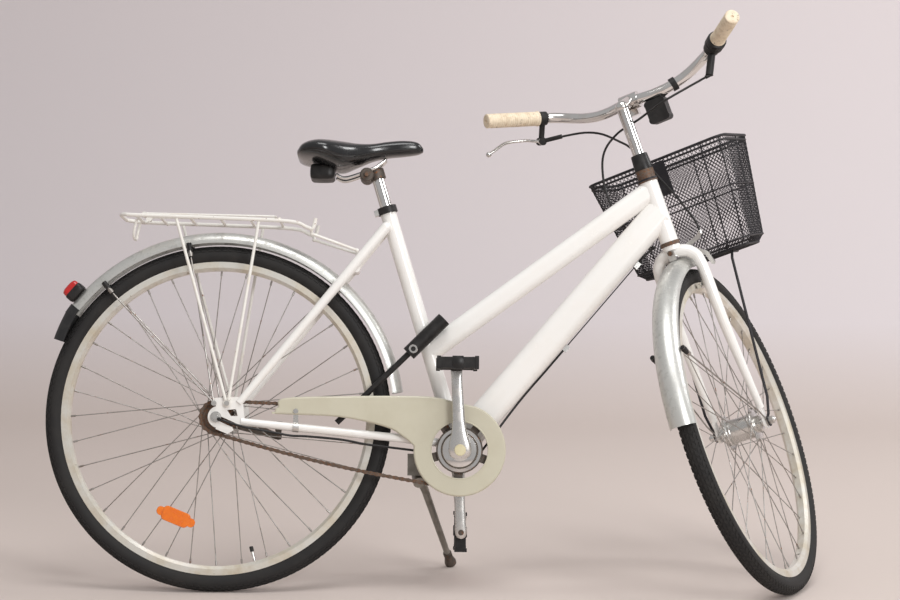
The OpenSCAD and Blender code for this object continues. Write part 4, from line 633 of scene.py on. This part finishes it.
for s, side, body in ((-1, "right", "crankset"), (1, "left", "crankset")):
    way = crank_way * (1 if s < 0 else -1)
    eye = way * CRANK_LEN
    piece(side + "_crank_arm", crank_shapes(s), CRANK, body, "alloy", stands_for=[side + "_crank"],
          sharp=50)
    piece(side + "_pedal_axle", [turned(eye + Vector((0, s * 69.5, 0)), (0, s, 0),
            [(6, 0), (6, 1), (4.4, 1.2), (4.4, 14), (7, 14.2), (7, 16.4), (4.4, 16.8), (4.4, 90)], 20)],
          CRANK, body, "dark_steel")
    piece(side + "_dust_cap", [turned((0, s * 83.4, 0), (0, s, 0),
            [(11.6, 0), (11.6, 1.4), (10.8, 2.6), (0.6, 3.4)], 32)], CRANK, body, "cap_cream")
piece("chainring_disc", [turned((0, -47.2, 0), (0, -1, 0),
        [(9, 0), (44, 0), (46.6, 0.8), (47, 2.2), (45, 3.6), (38, 4.2), (36, 3.0), (34, 4.6), (22, 6.2),
        (9, 6.4)], 72)], CRANK, "crankset", "chrome", sharp=25)

# %% [markdown]
# Each pedal hangs at the end of its crank. Its cage is two toothed side plates and two end plates
# joined by ribs, and every edge is softened a little.
# %% Pedals
LONG, WIDE, THICK, PEDAL_IN = 78, 90, 26, 88


def pedal_shapes(s):
    near, far = s * PEDAL_IN, s * (PEDAL_IN + WIDE)
    lo, hi = min(near, far), max(near, far)
    shapes = []
    for k in (-1, 1):
        x = k * (LONG / 2 - 3)
        shapes.append(block((x - 3, lo + 4, -THICK / 2 + 2), (x + 3, hi - 4, -THICK / 2 + 6)))
        shapes.append(block((x - 3, lo + 4, THICK / 2 - 6), (x + 3, hi - 4, THICK / 2 - 2)))
        shapes.append(block((x - k * 5 - 1.5, lo + 4, -THICK / 2 + 3),
                (x - k * 5 + 1.5, hi - 4, THICK / 2 - 3)))
        y = near + s * 5 if k < 0 else far - s * 5
        shapes.append(block((-LONG / 2, y - 5, -THICK / 2 + 2), (LONG / 2, y + 5, THICK / 2 - 2)))
        shapes.append(block((-11, y - 5.5, -THICK / 2), (11, y + 5.5, THICK / 2)))
        for c in (-1, 1):
            x = c * (LONG / 2 - 2)
            shapes.append(block((x - 4, y - 5.5, -THICK / 2), (x + 4, y + 5.5, THICK / 2)))
    for j in range(1, 6):
        y = lo + WIDE * j / 6
        shapes.append(block((-LONG / 2 + 8, y - 2, -THICK / 2 + 4),
                (LONG / 2 - 8, y + 2, -THICK / 2 + 7)))
        shapes.append(block((-LONG / 2 + 8, y - 2, THICK / 2 - 7),
                (LONG / 2 - 8, y + 2, THICK / 2 - 4)))
        for k in (-1, 1):
            for z in (3 - THICK / 2, THICK / 2 - 3):
                shapes.append(block((k * 30 - 2, y - 2, z - 2), (k * 30 + 2, y + 2, z + 2)))
    return shapes


for s, side in ((-1, "right"), (1, "left")):
    eye = crank_way * CRANK_LEN * (1 if s < 0 else -1)
    PEDAL = CRANK @ Matrix.Translation(eye * MM) @ Matrix.Rotation(math.radians(0 if s < 0 else -90), 4,
            "Y")
    body = "pedal_" + side
    piece(side + "_pedal_cage", pedal_shapes(s), PEDAL, body, "black_plastic",
          stands_for=[side + "_pedal"], bevel=0.9)
    piece(side + "_pedal_barrel", [turned((0, s * PEDAL_IN, 0), (0, s, 0),
            [(8, 0), (11, 1), (11, 6), (9, 8), (9, 80), (11.5, 82), (11.5, 91), (6, 93), (1, 93.4)],
            28)], PEDAL, body, "black_plastic")
    mid = s * (PEDAL_IN + WIDE / 2)
    for k in (-1, 1):
        x = k * (LONG / 2 - 1.5)
        ribs = [block((x - 1.4, mid - 26 + 4 * j - 0.6, -5.5), (x + 1.9, mid - 26 + 4 * j + 0.6, 5.5))
                for j in range(14)]
        piece(side + "_pedal_reflector_" + ("front" if k > 0 else "back"),
              [block((x - 1.2, mid - 28, -6), (x + 1.2, mid + 28, 6))] + ribs, PEDAL, body,
              "amber_lens", bevel=0.3)

# %% [markdown]
# ## Side stand
# The leg is a cast bar that leaves its pivot, bends outwards and tapers to a rubber shoe.
# %% Stand leg and shoe
PIVOT, FOOT = Vector((403, 47, 243)), Vector((485, 288, 288 * math.tan(math.radians(7.1))))
KNEE = PIVOT.lerp(FOOT, 0.2) + Vector((2, 14, 4))
low_way = (FOOT - KNEE).normalized()
pin_way = BIKE.to_3x3().inverted() @ Vector(joint["stand_fold"]["axis"])
piece("stand_leg", [tube(smooth([PIVOT + 7 * (KNEE - PIVOT).normalized(), PIVOT.lerp(KNEE, 0.5), KNEE,
        KNEE.lerp(FOOT, 0.12), KNEE.lerp(FOOT, 0.5), FOOT - 26 * low_way], 5),
        [10.5, 9.5, 8.4, 8.0, 7.2, 6.6], 20), turned(PIVOT - 9 * pin_way, pin_way,
        [(5.1, 0), (11, 0), (12, 1), (12, 17), (11, 18), (5.1, 18)], 32, hollow=True)], BIKE, "stand",
      "stand_metal", stands_for=["kickstand_leg"])
piece("stand_shoe", [turned(FOOT - 47.5 * low_way, low_way,
        [(7, 0), (9, 1), (9.4, 3), (9.0, 16), (11, 24), (12.6, 31), (12.4, 37), (9, 41), (1, 42.5)],
        28)], BIKE, "stand", "dark_steel")

# %% [markdown]
# ## Basket
# The wall of the basket is expanded mesh: thin strands that cross in small diamonds between an
# oblong top ring and a smaller oblong lower ring. Every ring is walked with the same number of
# steps, so a strand is simply a line that climbs while it moves along the ring.
# %% Basket rings and mesh
BASKET_X, ROUND = 180, 24


def oblong_ring(wide, deep, z, corner=ROUND, side=30, end=16, bend=5):
    hx, hy = deep / 2 - corner, wide / 2 - corner
    out = []
    for (cx, cy, start, nx, ny, steps) in ((1, 1, 0, -1, 1, end), (-1, 1, 90, -1, -1, side),
            (-1, -1, 180, 1, -1, end), (1, -1, 270, 1, 1, side)):
        for k in range(bend):
            a = math.radians(start + 90 * k / bend)
            out.append(Vector((BASKET_X + cx * hx + corner * math.cos(a),
                    cy * hy + corner * math.sin(a), z)))
        a = math.radians(start + 90)
        first = Vector((BASKET_X + cx * hx + corner * math.cos(a), cy * hy + corner * math.sin(a), z))
        last = Vector((BASKET_X + nx * hx + corner * math.cos(a), ny * hy + corner * math.sin(a), z))
        out += [first.lerp(last, k / steps) for k in range(steps)]
    return out


TOP, LOW, FLOOR = oblong_ring(318, 198, 570), oblong_ring(262, 150, 355), oblong_ring(238, 126, 341)
AROUND = len(TOP)


def wall_point(i, v):
    k, f = int(math.floor(i)) % AROUND, i - math.floor(i)
    n = (k + 1) % AROUND
    ends = (LOW, TOP) if v >= 0 else (FLOOR, LOW)
    share = v if v >= 0 else 1 + v
    return ends[0][k].lerp(ends[0][n], f).lerp(ends[1][k].lerp(ends[1][n], f), share)


LEVELS = 22
strands = []
for k in range(AROUND):
    for way in (-1, 1):
        path = [wall_point(k, -1)] + [wall_point(k + way * (j + 1), j / LEVELS)
                for j in range(LEVELS + 1)]
        strands.append(tube(path, 0.75, 4))
for way in (-1, 1):
    for j in range(-18, 19):
        c = j * 9.5
        inside = [Vector((BASKET_X + x, way * x + c, 341)) for x in range(-60, 61, 2)
                if abs(way * x + c) < 116]
        if len(inside) > 2:
            strands.append(tube([inside[0], inside[len(inside) // 2], inside[-1]], 0.75, 4))
piece("basket_mesh", strands, FORK, "steering", "black_wire", stands_for=["basket"], sharp=60)
rings = [tube(r + r[:2], t, 10) for r, t in ((TOP, 3.0), (oblong_ring(315, 195, 561), 2.2), (LOW, 2.0),
        (FLOOR, 2.6), ([wall_point(k, 0.52) for k in range(AROUND)], 1.5))]
posts = [tube([wall_point(k, -1), wall_point(k, 0), wall_point(k, 0.5), wall_point(k, 0.99)], 1.5, 8)
        for k in (2, 13, 23, 38, 53, 58, 69, 79, 94, 109)]
cross = [tube([Vector((BASKET_X + x, -118, 340)), Vector((BASKET_X + x, 118, 340))], 2, 8)
        for x in (-40, 0, 40)]
piece("basket_wires", rings + posts + cross, FORK, "steering", "black_wire")
print(len(strands), "strands in the basket")

# %% [markdown]
# ## Saddle
# The saddle is a moulded shell with a tight glossy cover. Its cross-sections are eased along the
# length and closed as soft ovals, a thin welt marks the edge, and a bumper sits under the tail.
# %% Saddle cover, welt and bumper
TAIL = 153
SADDLE = [(0, 60, 893, 882), (12, 88, 908, 876), (37, 101, 916, 872), (62, 100, 917, 864),
        (92, 80, 916, 858), (122, 52, 914, 868), (152, 36, 915, 880), (182, 29, 920, 887),
        (217, 26, 923, 891), (245, 20, 920, 895), (257, 8, 908, 900)]
tops = smooth([(s, w, t) for s, w, t, u in SADDLE], 5)
unders = smooth([(s, w, u) for s, w, t, u in SADDLE], 5)


def saddle_ring(top, under, shrink=1.0):
    mid, half = (top.z + under.z) / 2, (top.z - under.z) / 2
    out = []
    for k in range(48):
        a = 2 * math.pi * k / 48
        c, s = math.cos(a), math.sin(a)
        groove = 2.2 * math.exp(-(top.y * c / 9) ** 2) * max(0.0, s) * min(1,
                max(0, (top.x - 10) / 60)) * min(1, max(0, (200 - top.x) / 60))
        out.append(Vector((TAIL + top.x, shrink * top.y * math.copysign(abs(c) ** 0.72, c),
                mid + shrink * half * math.copysign(abs(s) ** 0.8, s) - groove)))
    return out


cover = [saddle_ring(tops[0], unders[0], 0.5)] + [saddle_ring(t, u) for t, u in zip(tops, unders)]
cover += [saddle_ring(tops[-1], unders[-1], 0.5)]
piece("saddle_cover", [skin(cover)], BIKE, "saddle_post", "saddle_vinyl", stands_for=["saddle"],
      sharp=70, subdivide=1)
for side in (-1, 1):
    welt = [Vector((TAIL + t.x, side * t.y * 0.985, (t.z + u.z) / 2 - 0.35 * (t.z - u.z) / 2))
            for t, u in zip(tops, unders)][4:-3]
    piece("saddle_welt_" + ("left" if side > 0 else "right"), [tube(welt, 1.3, 8)], BIKE, "saddle_post",
          "black_plastic")
bumper = [[Vector((x, y, z)) for y, z in [(p[0], 854 + p[1])
        for p in rounded_oblong(2 * wide, 2 * tall, 9)]]
        for x, wide, tall in ((178.5, 24, 9), (180, 31, 13), (184, 34.5, 15.5), (196, 35, 16),
        (214, 35, 16), (224, 34, 15), (228.5, 29, 12))]
piece("saddle_bumper", [skin(bumper)], BIKE, "saddle_post", "black_plastic", sharp=50)
print("saddle of", len(cover), "sections")

# %% [markdown]
# Two bent rails under the saddle are held by a ribbed drum on top of the seatpost. Lower down, a
# black collar closes the top of the seat tube.
# %% Saddle rails and clamp
SEAT_UP = Vector((-0.2940, 0, 0.9558)).normalized()
POST_TOP = Vector((334.8, 0, 786.0)) + 80 * SEAT_UP
CLAMP = POST_TOP - 8 * SEAT_UP - 20 * Vector((0.9558, 0, 0.2940))
RAIL = [(232, 24, 848), (247, 23, 841.5), (268, 22, 846), (308, 20, 862), (322, 16, 872),
        (333, 12, 882)]


def flip(p, s=-1):
    return Vector((p[0], s * p[1], p[2]))


rails = [tube(smooth([flip(p, s) for p in RAIL], 6), 3.5, 16, domed=True) for s in (-1, 1)]
drum = turned(CLAMP - Vector((0, 28, 0)), (0, 1, 0),
        [(6, 0), (12.5, 0), (14, 1.4), (14, 17), (13.2, 18), (13.2, 20), (14, 21), (14, 35), (13.2, 36),
        (13.2, 38), (14, 39), (14, 54.6), (12.5, 56), (6, 56)], 40)
bolt = turned(CLAMP - Vector((0, 34, 0)), (0, 1, 0),
        [(1, 0), (5, 0.4), (6, 2), (6, 66), (5, 67.6), (1, 68)], 6)
band = turned(POST_TOP - 22 * SEAT_UP, SEAT_UP,
        [(13.2, 0), (16, 0), (17, 1), (17, 20), (16, 21.4), (13.2, 21.4)], 40, hollow=True)
piece("saddle_rail_pair", rails, BIKE, "saddle_post", "chrome", stands_for=["saddle_rails"])
piece("saddle_clamp", [drum, band], BIKE, "saddle_post", "dark_steel", sharp=30)
piece("saddle_clamp_bolt", [bolt], BIKE, "saddle_post", "rusty_steel", sharp=30)
SEAT_TOP = Vector((334.8, 0, 786.0))
piece("seat_collar_cover", [turned(SEAT_TOP - 15.4 * SEAT_UP, SEAT_UP,
        [(15, 0), (19.6, 0), (20.5, 1), (20.5, 14), (19.6, 15), (13.4, 15.2)], 48, hollow=True)], BIKE,
      "frame", "black_plastic")

# %% [markdown]
# ## Handlebar, grips and levers
# The bar is one bent tube. Each half leaves the stem, dips forward, rises and sweeps back to the
# hand. The grips are ribbed sleeves with an end flange, and the brake blade is a tapering loft.
# %% Bar and grips
GRIP_FROM, GRIP_TO = Vector((73, 207, 747)), Vector((-22.6, 285.6, 769.8))
GRIP_DIR = (GRIP_TO - GRIP_FROM).normalized()
GRIP_LEN = (GRIP_TO - GRIP_FROM).length
bend = [Vector((67, 22, 703)), Vector((88, 108, 694)), Vector((125, 150, 732)),
        GRIP_FROM - 20 * GRIP_DIR]


def bezier(p, t):
    u = 1 - t
    return u ** 3 * p[0] + 3 * u * u * t * p[1] + 3 * u * t * t * p[2] + t ** 3 * p[3]


half_bar = [bezier(bend, k / 24) for k in range(25)] + [GRIP_FROM, GRIP_TO - 1 * GRIP_DIR]
bar_path = [flip(p) for p in reversed(half_bar)] + half_bar
piece("bar_tube", [tube(bar_path, 11.1, 28)], FORK, "steering", "chrome", stands_for=["handlebar"])
for side, name, start in ((1, "left", 3), (-1, "right", 29)):
    at, way = flip(GRIP_FROM, side), flip(GRIP_DIR, side)
    profile = [(11.2, start), (15.6, start), (16.6, start + 1.2), (16.6, start + 3.4),
            (15.2, start + 5)]
    s = start + 7
    while s < GRIP_LEN - 10:
        profile += [(15.3, s), (15.5, s + 0.6), (15.5, s + 3.4), (15.3, s + 4.0), (14.9, s + 4.6)]
        s += 5.2
    end = GRIP_LEN + 3
    profile += [(14.9, end - 6), (15.4, end - 5), (15.4, end - 2), (14.6, end - 0.8), (11.6, end - 0.4),
            (3, end - 0.4), (2.6, end - 3)]
    piece(name + "_grip", [turned(at, way, profile, 40)], FORK, "steering", "grip_cream",
          stands_for=["hand_grips"] if side > 0 else (), sharp=60)
shift = turned(flip(GRIP_FROM), flip(GRIP_DIR),
        [(11.6, 0.4), (18, 0.4), (20, 2), (20, 10), (18.4, 11), (18.4, 12), (19.8, 13), (19.8, 26),
        (17, 27.8), (11.6, 27.8)], 48)
knurls = []
for k in range(24):
    a = 2 * math.pi * k / 24
    way = flip(GRIP_DIR)
    u = way.orthogonal().normalized()
    w = way.cross(u)
    at = flip(GRIP_FROM) + 19.4 * (math.cos(a) * u + math.sin(a) * w)
    knurls.append(turned(at + 13.5 * way, way, [(0.2, 0), (1.0, 0.8), (1.0, 11.4), (0.2, 12)], 8))
piece("shifter_sleeve", [shift] + knurls, FORK, "shifter", "black_plastic",
      stands_for=["twist_shifter"])
piece("headset_cover", [turned((0, 0, 550.6), (0, 0, 1),
        [(12.8, 0), (19.5, 0), (19.7, 1), (19.2, 6), (17.6, 32), (17, 33.4), (12.8, 33.6)], 48)], FORK,
      "steering", "black_plastic")

# %% [markdown]
# The brake blade hangs from its pivot on the left, flattened for the fingers, and ends in a ball.
# %% Brake blade
LEVER_PIVOT, LEVER_AXIS = Vector((86, 225, 701)), Vector((0.589, 0.767, 0.254)).normalized()
BLADE = [(0, 0, 0), (-14, 11, 5), (-31, 25, 11), (-59, 55, 17), (-85, 71, 9), (-105, 80, 2)]
tip_way = Vector((-20, 9, -7)).normalized()
blade = smooth([LEVER_PIVOT + Vector(p) for p in BLADE], 6)
widths = [5.5, 4.6, 4.4, 4.8, 4.6, 4.4]
ball = turned(blade[-1] - 1 * tip_way, tip_way,
        [(4.0, 0), (5.4, 2.4), (6, 5), (6, 7), (5.2, 9.4), (3.6, 11), (0.4, 12)], 24)
piece("brake_blade", [tube(blade, widths, 20, flat=0.72, side_on=LEVER_AXIS), ball,
        turned(LEVER_PIVOT - 5 * LEVER_AXIS, LEVER_AXIS,
        [(3, 0), (6.6, 0), (7, 0.6), (7, 9.4), (6.6, 10), (3, 10)], 28)], FORK, "lever", "alloy",
      stands_for=["brake_lever"])

# %% [markdown]
# ## Rear lamp, boots and lock
# The rear lamp is a rounded housing with a ribbed red lens. Soft black boots grip the edge of each
# mudguard where the wires end, and the lock shows a bright ring round its keyhole.
# %% Rear lamp
LAMP_ANGLE, LAMP_R = math.radians(139.6), 378.2
lamp_out = Vector((math.cos(LAMP_ANGLE), 0, math.sin(LAMP_ANGLE)))
lamp_up = Vector((-lamp_out.z, 0, lamp_out.x))


def lamp_ring(out, wide, tall, corner):
    return [lamp_out * (LAMP_R + out) + Vector((0, y, 0)) + lamp_up * z
            for y, z in rounded_oblong(2 * wide, 2 * tall, corner)]


housing = [lamp_ring(*q) for q in ((0.5, 14, 15, 8), (1.5, 17, 18, 8), (5, 19, 20, 9), (15, 19, 20, 9),
        (17.6, 18.4, 19.4, 9), (18, 17, 18, 9))]
lens = [lamp_ring(*q) for q in ((17.8, 17.2, 18.2, 9), (22, 17.6, 18.6, 9), (27, 16.6, 17.6, 9),
        (30, 13, 14, 9), (31.2, 8, 9, 7.5))]
louvres = [tube([lamp_out * (LAMP_R + 25) + lamp_up * z + Vector((0, -17.2, 0)),
        lamp_out * (LAMP_R + 29.6 - 0.012 * z * z) + lamp_up * z,
        lamp_out * (LAMP_R + 25) + lamp_up * z + Vector((0, 17.2, 0))], 0.8, 8)
        for z in range(-12, 13, 4)]
piece("rear_lamp_housing", [skin(housing)], REAR, "frame", "black_plastic", stands_for=["rear_lamp"])
piece("rear_lamp_lens", [skin(lens)] + louvres, REAR, "frame", "red_lens", sharp=45)
piece("lock_keyhole_ring", [turned((393, -46, 491), (0, -1, 0),
        [(4.4, 0), (8.6, 0), (9, 0.8), (8.4, 2), (5, 2.2), (4.4, 1.0)], 32, hollow=True)], BIKE,
      "frame", "chrome")

# %% [markdown]
# A boot is a ribbed rubber sleeve that leads each stay wire into the edge of its mudguard.
# %% Boots on the mudguard wires
def boots(name, centre, half, angles, place, body):
    shapes = []
    for angle in angles:
        out = Vector((math.cos(math.radians(angle)), 0, math.sin(math.radians(angle))))
        for s in (-1, 1):
            side_of = Vector((0, s * half, 0))
            shapes.append(turned(out * (centre + 5) + side_of, -out,
                    [(1, 0), (4.6, 0.6), (5.5, 2), (5.5, 21), (4.2, 25), (3.6, 31), (1.8, 32)], 20))
            shapes.append(turned(out * (centre - 3) + side_of, -out,
                    [(5.4, 0), (6, 0.6), (6, 2), (5.4, 2.6)], 20))
    piece(name, shapes, place, body, "black_plastic")


boots("rear_wire_boots", 355.2, 28.2, (100.5, 131), REAR, "frame")
boots("front_wire_boots", 351.2, 32.2, (146,), FRONT, "steering")

# %% [markdown]
# ## Stage and light
# A pale floor runs back and curves up into the wall. The room is bright and soft: an even world
# light fills it, one panel overhead and one in front give the tubes their long highlights, and a
# third washes the wall. From behind the wall is see-through, so the bicycle's far side can be seen.
# %% Floor, backdrop and lamps
SWEEP_R, WALL_Y, FLOOR_Y, WALL_TOP, HALF_WIDTH = 2.4, 5.4, -9.0, 7.0, 9.0
FLOOR_TONE, WALL_TONE, BLEND_HEIGHT = (0.655, 0.57, 0.525, 1), (0.735, 0.675, 0.685, 1), 0.35


def backdrop_paint():
    paint = bpy.data.materials.new("backdrop")
    paint.use_nodes = True
    tree = paint.node_tree
    shader = tree.nodes["Principled BSDF"]
    shader.inputs["Roughness"].default_value = 0.9
    place = tree.nodes.new("ShaderNodeTexCoord")
    split = tree.nodes.new("ShaderNodeSeparateXYZ")
    tree.links.new(place.outputs["Object"], split.inputs["Vector"])
    height = tree.nodes.new("ShaderNodeMapRange")
    height.inputs["From Max"].default_value = BLEND_HEIGHT
    tree.links.new(split.outputs["Z"], height.inputs["Value"])
    mix = tree.nodes.new("ShaderNodeMix")
    mix.data_type = "RGBA"
    mix.inputs["A"].default_value = FLOOR_TONE
    mix.inputs["B"].default_value = WALL_TONE
    tree.links.new(height.outputs["Result"], mix.inputs["Factor"])
    tree.links.new(mix.outputs["Result"], shader.inputs["Base Color"])
    see_through_from_behind(tree, shader)
    return paint


def see_through_from_behind(tree, shader):
    clear = tree.nodes.new("ShaderNodeBsdfTransparent")
    facing = tree.nodes.new("ShaderNodeNewGeometry")
    either = tree.nodes.new("ShaderNodeMixShader")
    tree.links.new(facing.outputs["Backfacing"], either.inputs["Fac"])
    tree.links.new(shader.outputs["BSDF"], either.inputs[1])
    tree.links.new(clear.outputs["BSDF"], either.inputs[2])
    tree.links.new(either.outputs["Shader"], tree.nodes["Material Output"].inputs["Surface"])


def sweep_profile():
    out = [(FLOOR_Y, 0.0)]
    for degrees in range(0, 91, 5):
        a = math.radians(degrees)
        out.append((WALL_Y - SWEEP_R + SWEEP_R * math.sin(a), SWEEP_R - SWEEP_R * math.cos(a)))
    return out + [(WALL_Y, WALL_TOP)]


profile = sweep_profile()
verts = [(x, y, z) for x in (-HALF_WIDTH, HALF_WIDTH) for y, z in profile]
count = len(profile)
sweep = bpy.data.meshes.new("backdrop")
sweep.from_pydata(verts, [], [(k, count + k, count + k + 1, k + 1) for k in range(count - 1)])
sweep.shade_smooth()
backdrop = bpy.data.objects.new("backdrop", sweep)
scene.collection.objects.link(backdrop)
sweep.materials.append(backdrop_paint())

world = bpy.data.worlds.new("room")
scene.world = world
world.use_nodes = True
world.node_tree.nodes["Background"].inputs["Color"].default_value = (1.0, 0.985, 0.98, 1)
world.node_tree.nodes["Background"].inputs["Strength"].default_value = 0.44


def panel(name, at, aim, wide, tall, watts):
    lamp = bpy.data.lights.new(name, "AREA")
    lamp.shape, lamp.size, lamp.size_y, lamp.energy = "RECTANGLE", wide, tall, watts
    thing = bpy.data.objects.new(name, lamp)
    thing.location = at
    thing.rotation_euler = (Vector(aim) - Vector(at)).to_track_quat("-Z", "Y").to_euler()
    scene.collection.objects.link(thing)


panel("overhead", (0.4, -1.4, 4.2), (0.1, 0.4, 0.4), 2.4, 1.8, 70)
panel("right_window", (2.5, -4.6, 2.5), (0.1, 0.3, 0.6), 1.6, 2.0, 122)
panel("wall_wash", (4.4, 0.6, 3.4), (1.6, 5.4, 1.4), 2.2, 1.6, 118)
print("stage and lamps ready")
